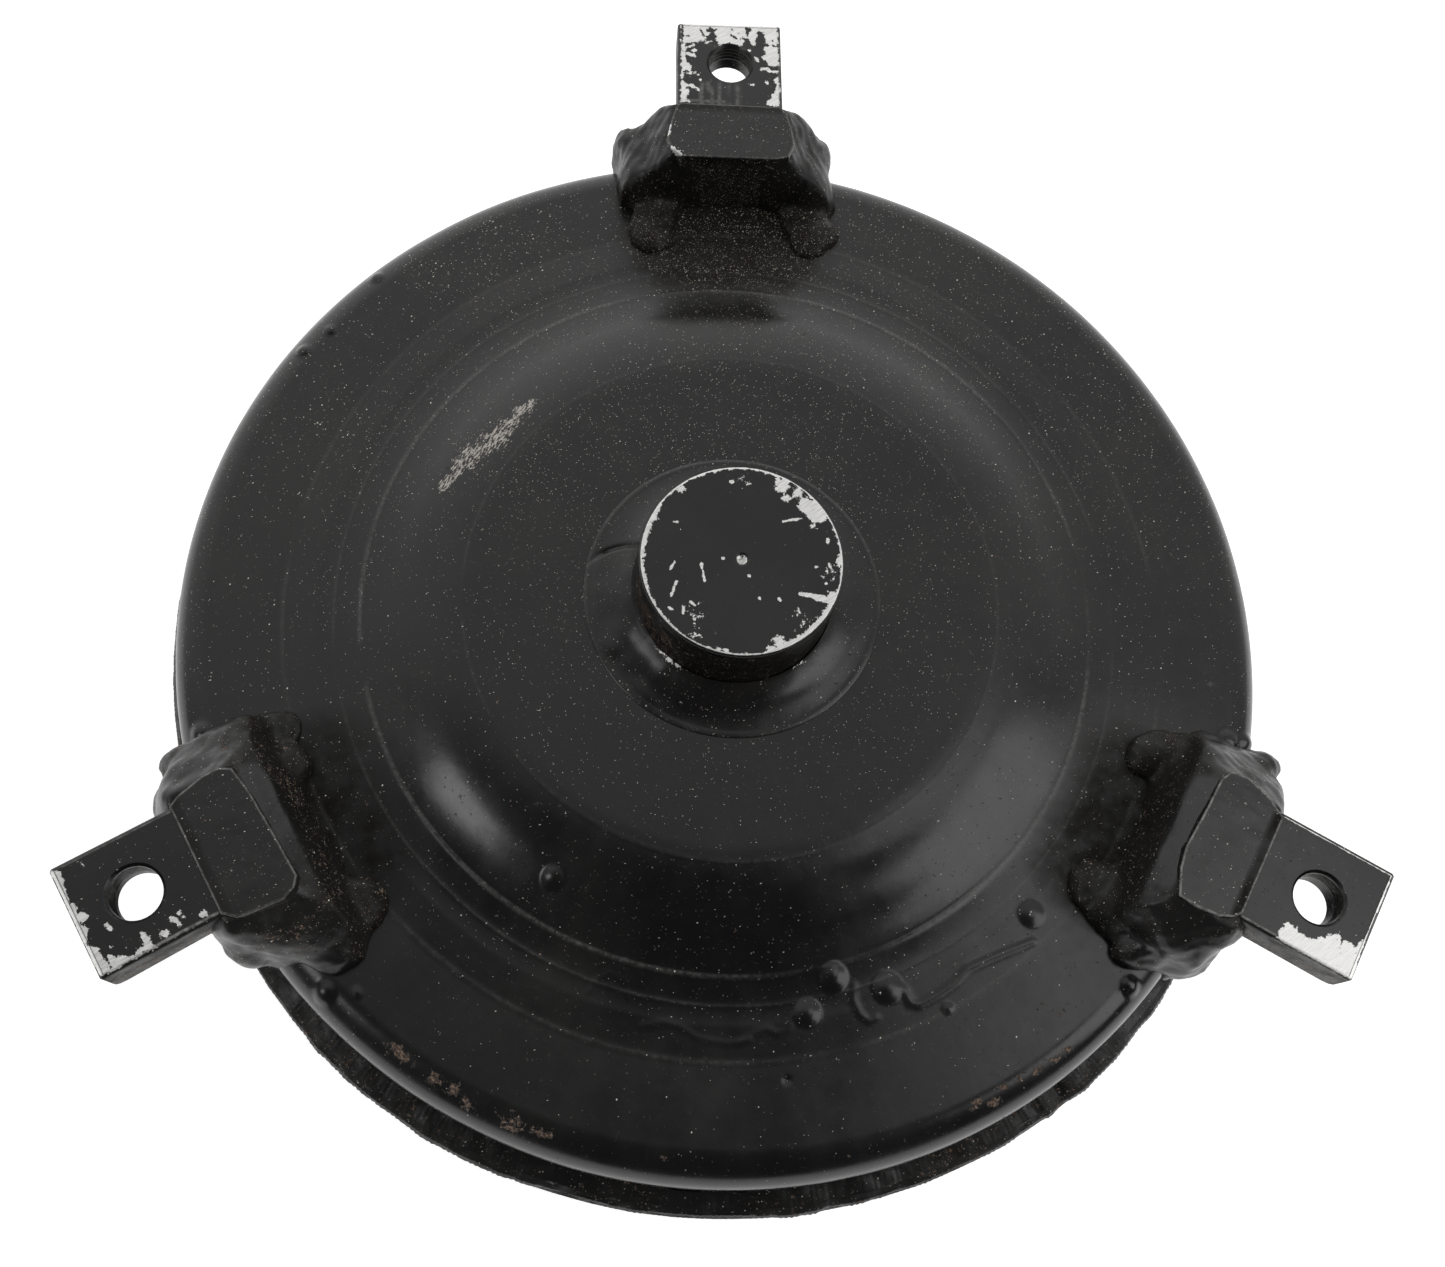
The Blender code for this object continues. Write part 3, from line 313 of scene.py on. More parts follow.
def turned_mesh(name, line, segments, relief=None, closed=True):
    """Turns a line round the axis.  An open line starts and ends on the axis.

    relief(points, normals) gives how far each point moves out of the surface.
    """
    ring = line if closed else line[1:-1]
    count = len(ring)
    if closed:
        ahead = np.roll(ring, -1, axis=0) - np.roll(ring, 1, axis=0)
    else:
        ahead = line[2:] - line[:-2]
    normal = np.stack([ahead[:, 1], -ahead[:, 0]], 1)
    normal /= np.maximum(np.linalg.norm(normal, axis=1), 1e-9)[:, None]
    after = np.roll(line, -1, axis=0)
    area = np.sum(line[:, 0] * after[:, 1] - after[:, 0] * line[:, 1])
    if area < 0.0:
        normal = -normal
    angles = 2.0 * math.pi * np.arange(segments) / segments
    cosines = np.repeat(np.cos(angles), count)
    sines = np.repeat(np.sin(angles), count)
    radius = np.tile(ring[:, 0], segments)
    points = np.stack([radius * cosines, radius * sines, np.tile(ring[:, 1], segments)], 1)
    if relief is not None:
        outward = np.tile(normal[:, 0], segments)
        normals = np.stack([outward * cosines, outward * sines, np.tile(normal[:, 1], segments)], 1)
        points = points + normals * relief(points, normals)[:, None]
    steps = np.arange(count if closed else count - 1)
    here = np.arange(segments)[:, None] * count
    there = (np.arange(segments)[:, None] + 1) % segments * count
    after = (steps + 1) % count
    quads = np.stack([here + steps, here + after, there + after, there + steps], 2).reshape(-1, 4)
    triangles = None
    if not closed:
        poles = np.array([[0.0, 0.0, line[0, 1]], [0.0, 0.0, line[-1, 1]]])
        first = len(points)
        points = np.concatenate([points, poles])
        start = np.arange(segments) * count
        after = np.roll(start, -1)
        upper = np.stack([start, after, np.full(segments, first)], 1)
        lower = np.stack([after + count - 1, start + count - 1, np.full(segments, first + 1)], 1)
        triangles = np.concatenate([upper, lower])
    return raw_mesh(name, points, quads, triangles)


def places(mesh):
    """A mesh's points in millimetres, with heights above the rim plane."""
    flat = np.zeros(len(mesh.vertices) * 3, np.float32)
    mesh.vertices.foreach_get("co", flat)
    points = flat.reshape(-1, 3).astype(float) / MM
    points[:, 2] -= RIM_LEVEL
    return points


def move_out(mesh, distance):
    """Moves each point of a mesh away from the axis by its own distance."""
    points = places(mesh)
    radius = np.maximum(np.hypot(points[:, 0], points[:, 1]), 1e-6)
    points[:, :2] *= (1.0 + distance / radius)[:, None]
    points[:, 2] += RIM_LEVEL
    mesh.vertices.foreach_set("co", (points * MM).astype(np.float32).ravel())
    mesh.update()


def neighbours(axis):
    """Slices of all grid points but the last along an axis, and of all but the first."""
    low = [slice(None)] * 3
    high = [slice(None)] * 3
    low[axis] = slice(0, -1)
    high[axis] = slice(1, None)
    return tuple(low), tuple(high)


def surface_net(field, lowest, step):
    """Points and quads of the surface where a field on a grid changes sign, one point per cell."""
    inside = field < 0.0
    size = np.array(field.shape) - 1
    total = np.zeros((*size, 3))
    count = np.zeros(size)
    counts = [np.arange(number, dtype=float) for number in field.shape]
    corner = np.stack(np.meshgrid(*counts, indexing="ij"), -1)
    for axis in range(3):
        low, high = neighbours(axis)
        crosses = inside[low] != inside[high]
        drop = np.where(crosses, field[low] - field[high], 1.0)
        share = np.where(crosses, field[low] / drop, 0.0)
        place = corner[low].copy()
        place[..., axis] += share
        others = [other for other in range(3) if other != axis]
        for one in (0, 1):
            for two in (0, 1):
                window = [slice(None)] * 3
                window[others[0]] = slice(one, one + size[others[0]])
                window[others[1]] = slice(two, two + size[others[1]])
                marks = crosses[tuple(window)]
                total += np.where(marks[..., None], place[tuple(window)], 0.0)
                count += marks
    used = count > 0
    number = np.full(tuple(size), -1, np.int64)
    number[used] = np.arange(used.sum())
    points = total[used] / count[used][:, None] * step + lowest
    quads = []
    for axis in range(3):
        one, two = [other for other in range(3) if other != axis]
        low, high = neighbours(axis)
        start = inside[low]
        inner = [slice(None)] * 3
        inner[one] = slice(1, -1)
        inner[two] = slice(1, -1)
        crosses = (start != inside[high])[tuple(inner)]
        cells = np.argwhere(crosses)
        cells[:, one] += 1
        cells[:, two] += 1
        around = []
        for back_one, back_two in ((1, 1), (0, 1), (0, 0), (1, 0)):
            cell = cells.copy()
            cell[:, one] -= back_one
            cell[:, two] -= back_two
            around.append(number[cell[:, 0], cell[:, 1], cell[:, 2]])
        faces = np.stack(around, 1)
        turned = start[tuple(inner)][crosses] ^ (axis == 1)
        faces[turned] = faces[turned][:, ::-1]
        quads.append(faces)
    return points, np.concatenate(quads)


# ---- material nodes ------------------------------------------------------------------------------
class Nodes:
    """A node tree, with short calls for the nodes in it."""

    def __init__(self, tree):
        self.tree = tree
        tree.nodes.clear()

    def feed(self, socket, value):
        if isinstance(value, bpy.types.NodeSocket):
            self.tree.links.new(value, socket)
        elif isinstance(value, tuple) and socket.type == "RGBA":
            socket.default_value = (*value, 1.0)
        else:
            socket.default_value = value

    def add(self, kind, **inputs):
        node = self.tree.nodes.new("ShaderNode" + kind)
        for name, value in inputs.items():
            self.feed(node.inputs[name.replace("_", " ")], value)
        return node

    def math(self, operation, first, second=0.0, clamp=False):
        node = self.add("Math")
        node.operation = operation
        node.use_clamp = clamp
        self.feed(node.inputs[0], first)
        self.feed(node.inputs[1], second)
        return node.outputs[0]

    def times(self, first, second, clamp=False):
        return self.math("MULTIPLY", first, second, clamp)

    def plus(self, first, second):
        return self.math("ADD", first, second)

    def ramp(self, value, low, high, start=0.0, end=1.0, shape="SMOOTHSTEP"):
        """From start to end as the value goes from low to high, level outside that."""
        node = self.add("MapRange", Value=value, From_Min=low, From_Max=high,
                        To_Min=start, To_Max=end)
        node.interpolation_type = shape
        return node.outputs["Result"]

    def line(self, value, low, high, start=0.0, end=1.0):
        return self.ramp(value, low, high, start, end, "LINEAR")


class Shader(Nodes):
    """A material with one Principled shader."""

    def __init__(self, name):
        self.material = bpy.data.materials.new(name)
        self.material.use_nodes = True
        super().__init__(self.material.node_tree)
        output = self.add("OutputMaterial")
        self.surface = self.add("BsdfPrincipled")
        self.feed(output.inputs["Surface"], self.surface.outputs["BSDF"])
        self.place = self.add("TexCoord").outputs["Object"]

    def set(self, **inputs):
        for name, value in inputs.items():
            self.feed(self.surface.inputs[name.replace("_", " ")], value)

    def drawn_out(self, direction, times):
        """Places for a texture whose features are this many times longer along a plan direction."""
        node = self.add("Mapping", Vector=self.place, Scale=(1.0, times, 1.0),
                        Rotation=(0.0, 0.0, math.radians(direction - 90.0)))
        node.vector_type = "TEXTURE"
        return node.outputs["Vector"]

    def noise(self, size, detail=3.0, rough=0.55, vector=None):
        """Noise from 0 to 1 whose features are about size millimetres."""
        node = self.add("TexNoise", Vector=self.place if vector is None else vector,
                        Scale=1.0 / (size * MM), Detail=detail, Roughness=rough)
        return node.outputs["Fac"]

    def cells(self, size, vector):
        """Distance to the nearest of scattered points in cells of a size, and the cell's colour."""
        node = self.add("TexVoronoi", Vector=vector, Scale=1.0 / (size * MM))
        split = self.add("SeparateColor", Color=node.outputs["Color"])
        return node.outputs["Distance"], split.outputs

    def field(self, name):
        """Numbers kept at the mesh's points."""
        node = self.add("Attribute")
        node.attribute_name = name
        return node.outputs["Fac"]

    def mix(self, share, first, second):
        """A colour between two."""
        return self.between("RGBA", 6, 2, share, first, second)

    def blend(self, share, first, second):
        """A number between two."""
        return self.between("FLOAT", 2, 0, share, first, second)

    def between(self, kind, entry, result, share, first, second):
        node = self.add("Mix", Factor=share)
        node.data_type = kind
        self.feed(node.inputs[entry], first)
        self.feed(node.inputs[entry + 1], second)
        return node.outputs[result]

    def round_place(self):
        """Distance from the axis and height, for marks that run round the object."""
        x, y, height = self.add("SeparateXYZ", Vector=self.place).outputs
        square = self.plus(self.times(x, x), self.times(y, y))
        join = self.add("CombineXYZ", Z=height)
        self.feed(join.inputs["X"], self.math("SQRT", square))
        return join.outputs["Vector"]

    def bump(self, height):
        """Relief from a height in millimetres."""
        node = self.add("Bump", Strength=1.0, Distance=MM, Height=height)
        self.set(Normal=node.outputs["Normal"])


PAINT_DARK = (0.0050, 0.0050, 0.0056)
PAINT_LIGHT = (0.0095, 0.0090, 0.0086)
# colour of grime, and of painted shade in creases and recesses
GRIME_AND_SHADE_TINT = (0.0036, 0.0030, 0.0025)
CHIP_DARK = (0.72, 0.715, 0.70)
CHIP_LIGHT = (0.93, 0.925, 0.91)
PALE_WEAR_AND_HIGHLIGHT_TINT = (0.34, 0.335, 0.32)
SCUFF_TINT = (0.56, 0.52, 0.47)
DUST_TINT = (0.36, 0.31, 0.24)
LINT_TINT = (0.80, 0.76, 0.68)
RUST_DARK = (0.040, 0.024, 0.018)
RUST_LIGHT = (0.27, 0.19, 0.14)
LINT_KINDS = (                       # cell size, direction, length, grain radius, greatest share
    (0.46, 17.0, 2.0, 0.28, 0.75), (0.66, 96.0, 3.6, 0.15, 0.35),
    (0.34, 143.0, 1.3, 0.34, 1.00), (0.85, 60.0, 1.3, 0.25, 0.60))


def lint_mask(shader, size, direction, times, radius, keep):
    """Scattered short fibres and grains; keep is the share of cells that hold one."""
    distance, random = shader.cells(size, shader.drawn_out(direction, times))
    reach = shader.line(random[1], 0.0, 1.0, 0.35 * radius, radius)
    edge = shader.times(reach, 0.55)
    grain = shader.ramp(distance, edge, reach, 1.0, 0.0)
    chosen = shader.math("LESS_THAN", random[0], keep)
    return shader.times(grain, chosen), random[2]


def paint_material(name, roughness, rippled):
    """Black enamel with orange peel, dust, lint, grime and painted shade, chips down to steel, rust
    and scuffs.
    """
    shader = Shader(name)
    broad = shader.noise(38.0, 4.0, 0.6)
    middle = shader.noise(5.0, 5.0, 0.6)
    fine = shader.noise(0.55, 3.0, 0.6)
    colour = shader.mix(shader.ramp(broad, 0.35, 0.7), PAINT_DARK, PAINT_LIGHT)
    rough = shader.blend(middle, roughness - 0.07, roughness + 0.10)
    rough = shader.plus(rough, shader.ramp(broad, 0.3, 0.75, -0.04, 0.07))

    # grime and painted shade: darker, rougher paint with less gloss
    grime = shader.times(shader.field("grime"), shader.ramp(middle, 0.25, 0.75, 0.45, 1.15))
    colour = shader.mix(shader.times(grime, 0.85, clamp=True), colour, GRIME_AND_SHADE_TINT)
    rough = shader.blend(shader.times(grime, 0.8, clamp=True), rough, 0.62)
    gloss = shader.blend(shader.times(grime, 0.9, clamp=True), 0.5, 0.10)

    ragged = shader.noise(1.5, 6.0, 0.68)
    speckled = shader.noise(0.42, 3.0, 0.6)
    chip_field = shader.plus(shader.field("chip"),
                             shader.line(ragged, 0.3, 0.7, -0.42, 0.42))
    chip_field = shader.plus(chip_field, shader.line(speckled, 0.3, 0.7, -0.20, 0.20))
    chip = shader.ramp(chip_field, 0.48, 0.52)
    brushed = shader.noise(0.4, 3.0, 0.6, vector=shader.drawn_out(35.0, 9.0))
    steel = shader.mix(shader.ramp(brushed, 0.3, 0.7), CHIP_DARK, CHIP_LIGHT)
    colour = shader.mix(chip, colour, steel)
    rough = shader.blend(chip, rough, shader.ramp(brushed, 0.2, 0.8, 0.40, 0.58))
    gloss = shader.blend(chip, gloss, 0.5)

    rust_noise = shader.noise(1.1, 5.0, 0.72)
    rust = shader.ramp(shader.plus(shader.field("rust"),
                                   shader.line(rust_noise, 0.25, 0.75, -0.8, 0.8)), 0.48, 0.66)
    rust_colour = shader.mix(shader.ramp(shader.noise(0.5, 3.0), 0.40, 0.66), RUST_DARK, RUST_LIGHT)
    colour = shader.mix(rust, colour, rust_colour)
    rough = shader.blend(rust, rough, 0.85)

    # pale edges: worn paint and painted highlights along edges, ridges and hole walls
    edge_noise = shader.ramp(shader.noise(1.1, 4.0, 0.65), 0.35, 0.65, 0.25, 1.0)
    edge = shader.times(shader.field("edge"), edge_noise)
    colour = shader.mix(shader.times(edge, 0.9, clamp=True), colour, PALE_WEAR_AND_HIGHLIGHT_TINT)
    rough = shader.blend(edge, rough, 0.5)

    strokes = shader.noise(0.30, 2.0, 0.5, vector=shader.drawn_out(62.0, 5.0))
    grains = shader.noise(0.34, 2.0, 0.5, vector=shader.drawn_out(20.0, 1.6))
    hatch = shader.plus(shader.times(strokes, 0.65), shader.times(grains, 0.35))
    hatch = shader.plus(hatch, shader.line(shader.field("scuff"), 0.0, 1.0, -0.14, 0.04))
    scuff = shader.times(shader.ramp(hatch, 0.51, 0.57),
                         shader.ramp(shader.field("scuff"), 0.02, 0.2))
    colour = shader.mix(shader.times(scuff, 0.9, clamp=True), colour, SCUFF_TINT)
    rough = shader.blend(scuff, rough, 0.8)

    dust = shader.field("dust")
    film = shader.times(dust, shader.ramp(middle, 0.3, 0.8, 0.010, 0.045))
    colour = shader.mix(film, colour, DUST_TINT)
    masks = []
    for size, direction, times, radius, high in LINT_KINDS:
        keep = shader.times(shader.math("POWER", dust, 1.6), high)
        masks.append(lint_mask(shader, size, direction, times, radius, keep))
    for mask, tint in masks:
        lint = shader.mix(tint, DUST_TINT, LINT_TINT)
        shown = shader.times(mask, shader.ramp(tint, 0.0, 1.0, 0.30, 1.0))
        colour = shader.mix(shown, colour, lint)
        rough = shader.blend(shown, rough, 0.9)

    shader.set(Base_Color=colour, Roughness=rough, Metallic=chip, Specular_IOR_Level=gloss)
    height = shader.times(fine, 0.004)
    height = shader.plus(height, shader.times(shader.noise(2.6, 2.0), 0.016))
    if rippled:
        height = shader.plus(height, shader.times(shader.noise(1.3, 4.0, 0.6), rippled))
    height = shader.math("SUBTRACT", height, shader.times(chip, 0.07))
    height = shader.plus(height, shader.times(rust, shader.times(rust_noise, 0.12)))
    for mask, tint in masks:
        height = shader.plus(height, shader.times(mask, 0.05))
    shader.bump(height)
    return shader.material


def steel_material(name, dark, light, roughness, turned=0.0, grain=0.9, stain=None):
    """Bare metal with mottled colour, fine scratches and, where it was turned on a lathe, rings."""
    shader = Shader(name)
    broad = shader.noise(14.0, 4.0, 0.6)
    fine = shader.noise(grain, 5.0, 0.65)
    rings = shader.noise(0.5, 2.0, 0.5, vector=shader.round_place())
    colour = shader.mix(shader.ramp(broad, 0.3, 0.75), dark, light)
    colour = shader.mix(shader.ramp(fine, 0.3, 0.8, 0.0, 0.35), colour, light)
    rough = shader.blend(fine, roughness - 0.08, roughness + 0.12)
    rough = shader.plus(rough, shader.ramp(rings, 0.3, 0.7, 0.0, 0.10 if turned else 0.0))
    if stain is not None:
        spots = shader.ramp(shader.noise(6.0, 6.0, 0.7), 0.56, 0.72)
        colour = shader.mix(shader.times(spots, 0.7), colour, stain)
        rough = shader.blend(spots, rough, min(roughness + 0.3, 0.9))
    shader.set(Base_Color=colour, Roughness=rough, Metallic=1.0)
    height = shader.times(fine, 0.010)
    if turned:
        height = shader.plus(height, shader.times(rings, turned))
    shader.bump(height)
    return shader.material


BARE_METALS = {                      # name, dark and light tint, roughness, then the extras
    "pressed_steel": ("drawn_sheet", (0.34, 0.33, 0.31), (0.50, 0.49, 0.47), 0.42,
                      {"stain": (0.22, 0.17, 0.12)}),
    "machined_steel": ("turned_steel", (0.46, 0.45, 0.43), (0.66, 0.65, 0.63), 0.30,
                       {"turned": 0.02, "stain": (0.25, 0.21, 0.17)}),
    "hardened_steel": ("ground_steel", (0.56, 0.56, 0.57), (0.72, 0.72, 0.73), 0.20,
                       {"turned": 0.006}),
    "spring_steel": ("blue_spring_steel", (0.20, 0.23, 0.29), (0.42, 0.42, 0.44), 0.30, {}),
    "cast_aluminium": ("sand_cast_aluminium", (0.56, 0.56, 0.55), (0.76, 0.76, 0.75), 0.50,
                       {"grain": 1.6}),
    "bronze": ("bearing_bronze", (0.46, 0.30, 0.13), (0.70, 0.50, 0.25), 0.36, {"turned": 0.01}),
    "brazed_steel": ("brazed_steel", (0.38, 0.34, 0.27), (0.58, 0.52, 0.42), 0.45,
                     {"stain": (0.50, 0.33, 0.14)})}


def make_materials():
    made = {"black_paint": paint_material("enamel", 0.22, 0.0),
            "weld_paint": paint_material("enamel_on_weld", 0.28, 0.06)}
    for slot, (name, dark, light, roughness, extras) in BARE_METALS.items():
        made[slot] = steel_material(name, dark, light, roughness, **extras)
    return made


# ---- front cover ---------------------------------------------------------------------------------
FINE_RIDGES = (                      # radius, width, height, and how pale a painted highlight along its top is
    (82.2, 0.40, 0.12, 0.22), (88.0, 0.40, 0.06, 0.10), (99.2, 0.45, 0.06, 0.08),
    (59.5, 0.40, 0.04, 0.07))
PAINT_DROPS = (                      # radius, azimuth, size, height
    (73.2, -121.2, 2.7, 0.70), (84.7, -76.0, 3.4, 0.85), (90.5, -80.5, 3.1, 0.75),
    (90.1, -69.2, 3.4, 0.90), (98.9, -63.2, 1.2, 0.45), (93.8, -47.1, 3.1, 0.55),
    (103.1, -84.1, 0.9, -0.30), (119.6, -134.4, 2.6, 0.80), (114.9, -132.0, 1.1, 0.30),
    (118.4, 148.0, 2.0, 0.70), (116.7, 144.1, 1.7, 0.50), (119.2, 135.3, 2.0, 0.65),
    (118.6, -44.8, 2.4, 0.85), (118.1, -164.7, 2.6, 0.80), (116.0, -14.6, 2.6, 0.70),
    (121.2, -14.0, 2.3, 0.80), (111.0, -8.0, 0.9, 0.25), (108.0, 21.0, 0.8, 0.20))
PAINT_RUNS = (                       # radius and azimuth along each run, then width and height
    (((91.5, -67.3), (94.5, -67.2), (95.6, -66.3), (95.5, -63.5), (95.0, -60.5), (94.1, -58.5),
      (94.7, -56.2), (95.8, -53.3), (98.0, -49.4)), 0.75, 0.22),
    (((90.9, -82.5), (93.1, -83.2), (93.8, -84.6), (92.7, -86.0), (93.5, -87.5), (95.4, -89.4)),
      0.6, 0.09),
    (((87.4, -73.4), (90.1, -74.1), (93.2, -73.8), (95.0, -73.0), (94.8, -71.9)), 0.6, 0.09),
    (((90.3, -109.3), (87.5, -109.0), (85.3, -107.5), (86.1, -105.2), (88.8, -104.5)), 0.5, 0.09),
    (((93.9, -101.8), (92.4, -99.0), (92.7, -97.2), (94.7, -94.4), (95.4, -90.8), (94.8, -88.2)),
      0.55, 0.08))
RUST_SPOTS = (                       # radius, azimuth, size along the rim, size across it
    (118.4, -125.0, 4.6, 1.5), (118.6, -120.7, 1.8, 1.6), (118.3, -118.5, 1.6, 1.8),
    (119.6, -116.6, 1.8, 1.4), (119.4, -112.0, 3.0, 2.2), (119.0, -109.2, 3.4, 1.2),
    (118.0, -65.2, 2.2, 1.2), (119.2, -63.6, 2.4, 1.2), (117.6, -62.0, 1.8, 1.1),
    (117.6, -60.0, 1.8, 1.0), (118.4, -58.2, 1.9, 1.0), (118.8, -56.0, 1.8, 1.0),
    (118.8, -54.5, 1.4, 0.9), (118.3, -97.0, 1.3, 0.6), (117.2, -94.0, 0.8, 0.5))
SCUFF_START = polar(70.0, 158.5)
SCUFF_END = polar(65.5, 134.0)
LUG_AZIMUTHS = (90.0, 210.0, 330.0)


def cover_relief(points, normals):
    """Ridges, drops and runs of paint, and the slight unevenness of a pressing."""
    x, y = points[:, 0], points[:, 1]
    radius = np.hypot(x, y)
    outside = (normals[:, 2] > -0.05) & (points[:, 2] > SKIRT_BOTTOM + 3.0)
    relief = 0.05 * fractal_noise(points, 26.0, 3, 2) + 0.008 * lattice_noise(points, 6.0, 9)
    away = np.maximum(radius, 1.0)
    turn = np.stack([x / away * 30.0, y / away * 30.0, np.zeros_like(x)], 1)
    strength = 0.75 + 0.25 * lattice_noise(turn, 9.0, 21)
    for ridge, width, height, _ in FINE_RIDGES:
        relief += height * strength * np.exp(-((radius - ridge) / width) ** 2)
    for place, azimuth, size, height in PAINT_DROPS:
        share = distance_to_place(x, y, place, azimuth) / size
        relief += height * np.clip(1.0 - share ** 2, 0.0, 1.0) ** 1.25
    for run, width, height in PAINT_RUNS:
        away = distance_to_line(x, y, [polar(*place) for place in run])
        relief += height * np.exp(-(away / width) ** 2)
    return np.where(outside, relief, 0.0)


def near_lug(x, y, out, side, reach):
    """How close a place is to a point on each lug, 1 at the point and 0 at reach."""
    best = np.zeros_like(x)
    for azimuth in LUG_AZIMUTHS:
        along, across = turned_axes(x, y, azimuth)
        away = np.hypot((along - out) / reach[0], np.maximum(np.abs(across) - side, 0.0) / reach[1])
        best = np.maximum(best, 1.0 - away)
    return np.clip(best, 0.0, 1.0)


def make_front_cover(materials):
    bore = PILOT_RADIUS + 0.3
    plateau = np.arange(bore, PLATEAU_RADIUS, 1.0)
    radii = np.concatenate([plateau, np.arange(PLATEAU_RADIUS, RIM_RADIUS - CORNER_RADIUS, 0.5)])
    radii = np.sort(np.append(radii, [STEP_RADIUS, 82.2, 88.0]))
    top = np.stack([radii, cover_height(radii)], 1)
    corner = (RIM_RADIUS - CORNER_RADIUS, STEP_HEIGHT - CORNER_RADIUS)
    outer = arc(corner, (CORNER_RADIUS, CORNER_RADIUS), 90.0, 0.0, 22)
    wall = spread(np.array([outer[-1], (RIM_RADIUS, SKIRT_BOTTOM)]), 0.8, closed=False)[1:]
    inside = CORNER_RADIUS - COVER_THICKNESS
    back = [(RIM_RADIUS - COVER_THICKNESS, SKIRT_BOTTOM)]
    back += arc(corner, (inside, inside), 0.0, 90.0, 6).tolist()
    for radius in (STEP_RADIUS, FOOT_RADIUS, 83.0, 74.0, 65.0, PLATEAU_RADIUS, bore):
        back.append((radius, float(cover_height(radius)) - COVER_THICKNESS))
    line = np.concatenate([top, outer, wall, np.array(back)])
    mesh = turned_mesh("front_cover_pressing", line, 1080, cover_relief)
    points = places(mesh)
    x, y, height = points.T
    radius = np.hypot(x, y)
    patchy = 0.5 + 0.5 * fractal_noise(points, 17.0, 5, 3)
    dust = 0.16 + 0.30 * smooth_step(y, -70.0, 100.0) * (0.5 + patchy)
    dust += 0.10 * smooth_step(radius, 60.0, 30.0)
    dust += 1.2 * near_lug(x, y, 99.0, 14.0, (21.0, 12.0)) * np.where(y > 60.0, 1.0, 0.05)
    dust -= 0.10 * smooth_step(radius, 96.0, 110.0) * smooth_step(-y, 20.0, 80.0)
    # painted shade and reflection: darker paint round the foot of each lug and its welds, most
    # behind the top lug
    grime = 1.9 * near_lug(x, y, 98.0, 13.0, (18.0, 12.0)) * (0.75 + 0.25 * patchy)
    grime += 0.9 * near_lug(x, y, 98.0, 16.0, (22.0, 14.0)) * (y > 60.0)
    # patchy darkening down the skirt
    grime += 0.25 * patchy * smooth_step(height, 2.0, -3.0)
    # painted shade under the pilot collar
    grime += 0.7 * smooth_step(radius, 24.5, 22.5)
    rust = np.zeros_like(x)
    for place, azimuth, along, across in RUST_SPOTS:
        centre = polar(place, azimuth)
        outward, sideways = turned_axes(x - centre[0], y - centre[1], azimuth)
        rust = np.maximum(rust, 0.95 - 0.75 * np.hypot(outward / across, sideways / along))
    along = SCUFF_END - SCUFF_START
    share = (x - SCUFF_START[0]) * along[0] + (y - SCUFF_START[1]) * along[1]
    share = np.clip(share / (along @ along), 0.0, 1.0)
    away = np.hypot(x - SCUFF_START[0] - share * along[0], y - SCUFF_START[1] - share * along[1])
    away = away / (1.3 + 1.7 * np.sin(math.pi * share)) + 0.50 * fractal_noise(points, 2.4, 31, 3)
    scuff = smooth_step(away, 1.35, 0.45)
    # painted highlight: a pale broken line along the top of each fine ridge
    edge = np.zeros_like(x)
    for ridge, _, _, strength in FINE_RIDGES:
        edge = np.maximum(edge, strength * smooth_step(np.abs(radius - ridge), 0.55, 0.1)
                          * smooth_step(patchy, 0.0, 0.5))
    edge = np.where(height > 7.0, edge, 0.0)
    chip = 0.30 * smooth_step(np.abs(height - 1.5), 3.0, 0.5) * smooth_step(radius, 123.0, 124.5)
    chip *= 0.5 + 0.5 * lattice_noise(points, 22.0, 77)
    add_piece("front_cover_pressing", mesh, materials["black_paint"], "black_paint", "front_cover",
              dust=dust, grime=grime, rust=rust, scuff=scuff, chip=chip, edge=edge)


# ---- pilot ---------------------------------------------------------------------------------------
PILOT_CHIPS = (                      # radius, azimuth, size
    (19.3, 63, 1.7), (17.2, 56, 0.8), (19.8, 52, 1.1), (18.9, 42, 1.9), (19.3, 34, 2.1),
    (17.2, 27, 0.5), (21.4, 36, 1.8), (21.3, 1, 1.5), (21.2, -24, 1.9), (19.6, -68, 1.3),
    (20.6, -74, 1.0), (20.6, 154, 1.0), (20.4, 129, 0.8), (20.9, -100, 0.6), (20.9, -105, 0.5))
SPECKLED_PLACES = (                  # places with many tiny chips: radius, azimuth, size
    (18.0, -48, 4.5), (19.0, -8, 3.5), (15.5, -130, 4.0), (18.0, 88, 3.0), (19.0, -120, 3.0))
PILOT_SCRATCHES = (                  # two ends, each radius and azimuth, and a half width
    ((12.5, 45), (16.1, 37), 0.20), ((14.2, -32), (17.1, -28), 0.45), ((17.1, -28), (20.1, -26),
    0.70), ((14.1, -176), (15.3, -170), 0.22), ((8.6, -172), (9.3, -148), 0.18), ((14.7, -159),
    (17.0, -150), 0.25), ((14.5, -138), (14.4, -133), 0.18), ((16.4, -138), (17.5, -135), 0.22),
    ((18.8, -144), (18.6, -142), 0.24), ((15.8, 149), (16.3, 150), 0.24), ((4.0, 180), (4.1, 178),
    0.26), ((3.9, -69), (4.0, -69), 0.24), ((11.4, -49), (11.8, -49), 0.30), ((9.3, -68),
    (9.4, -68), 0.24), ((17.8, 95), (17.8, 97), 0.28), ((18.9, 15), (18.6, 13), 0.32), ((18.3, -2),
    (18.5, -4), 0.30), ((15.5, -5), (15.6, -5), 0.22), ((18.2, -16), (18.3, -16), 0.24),
    ((8.6, -172), (8.5, -171), 0.40))


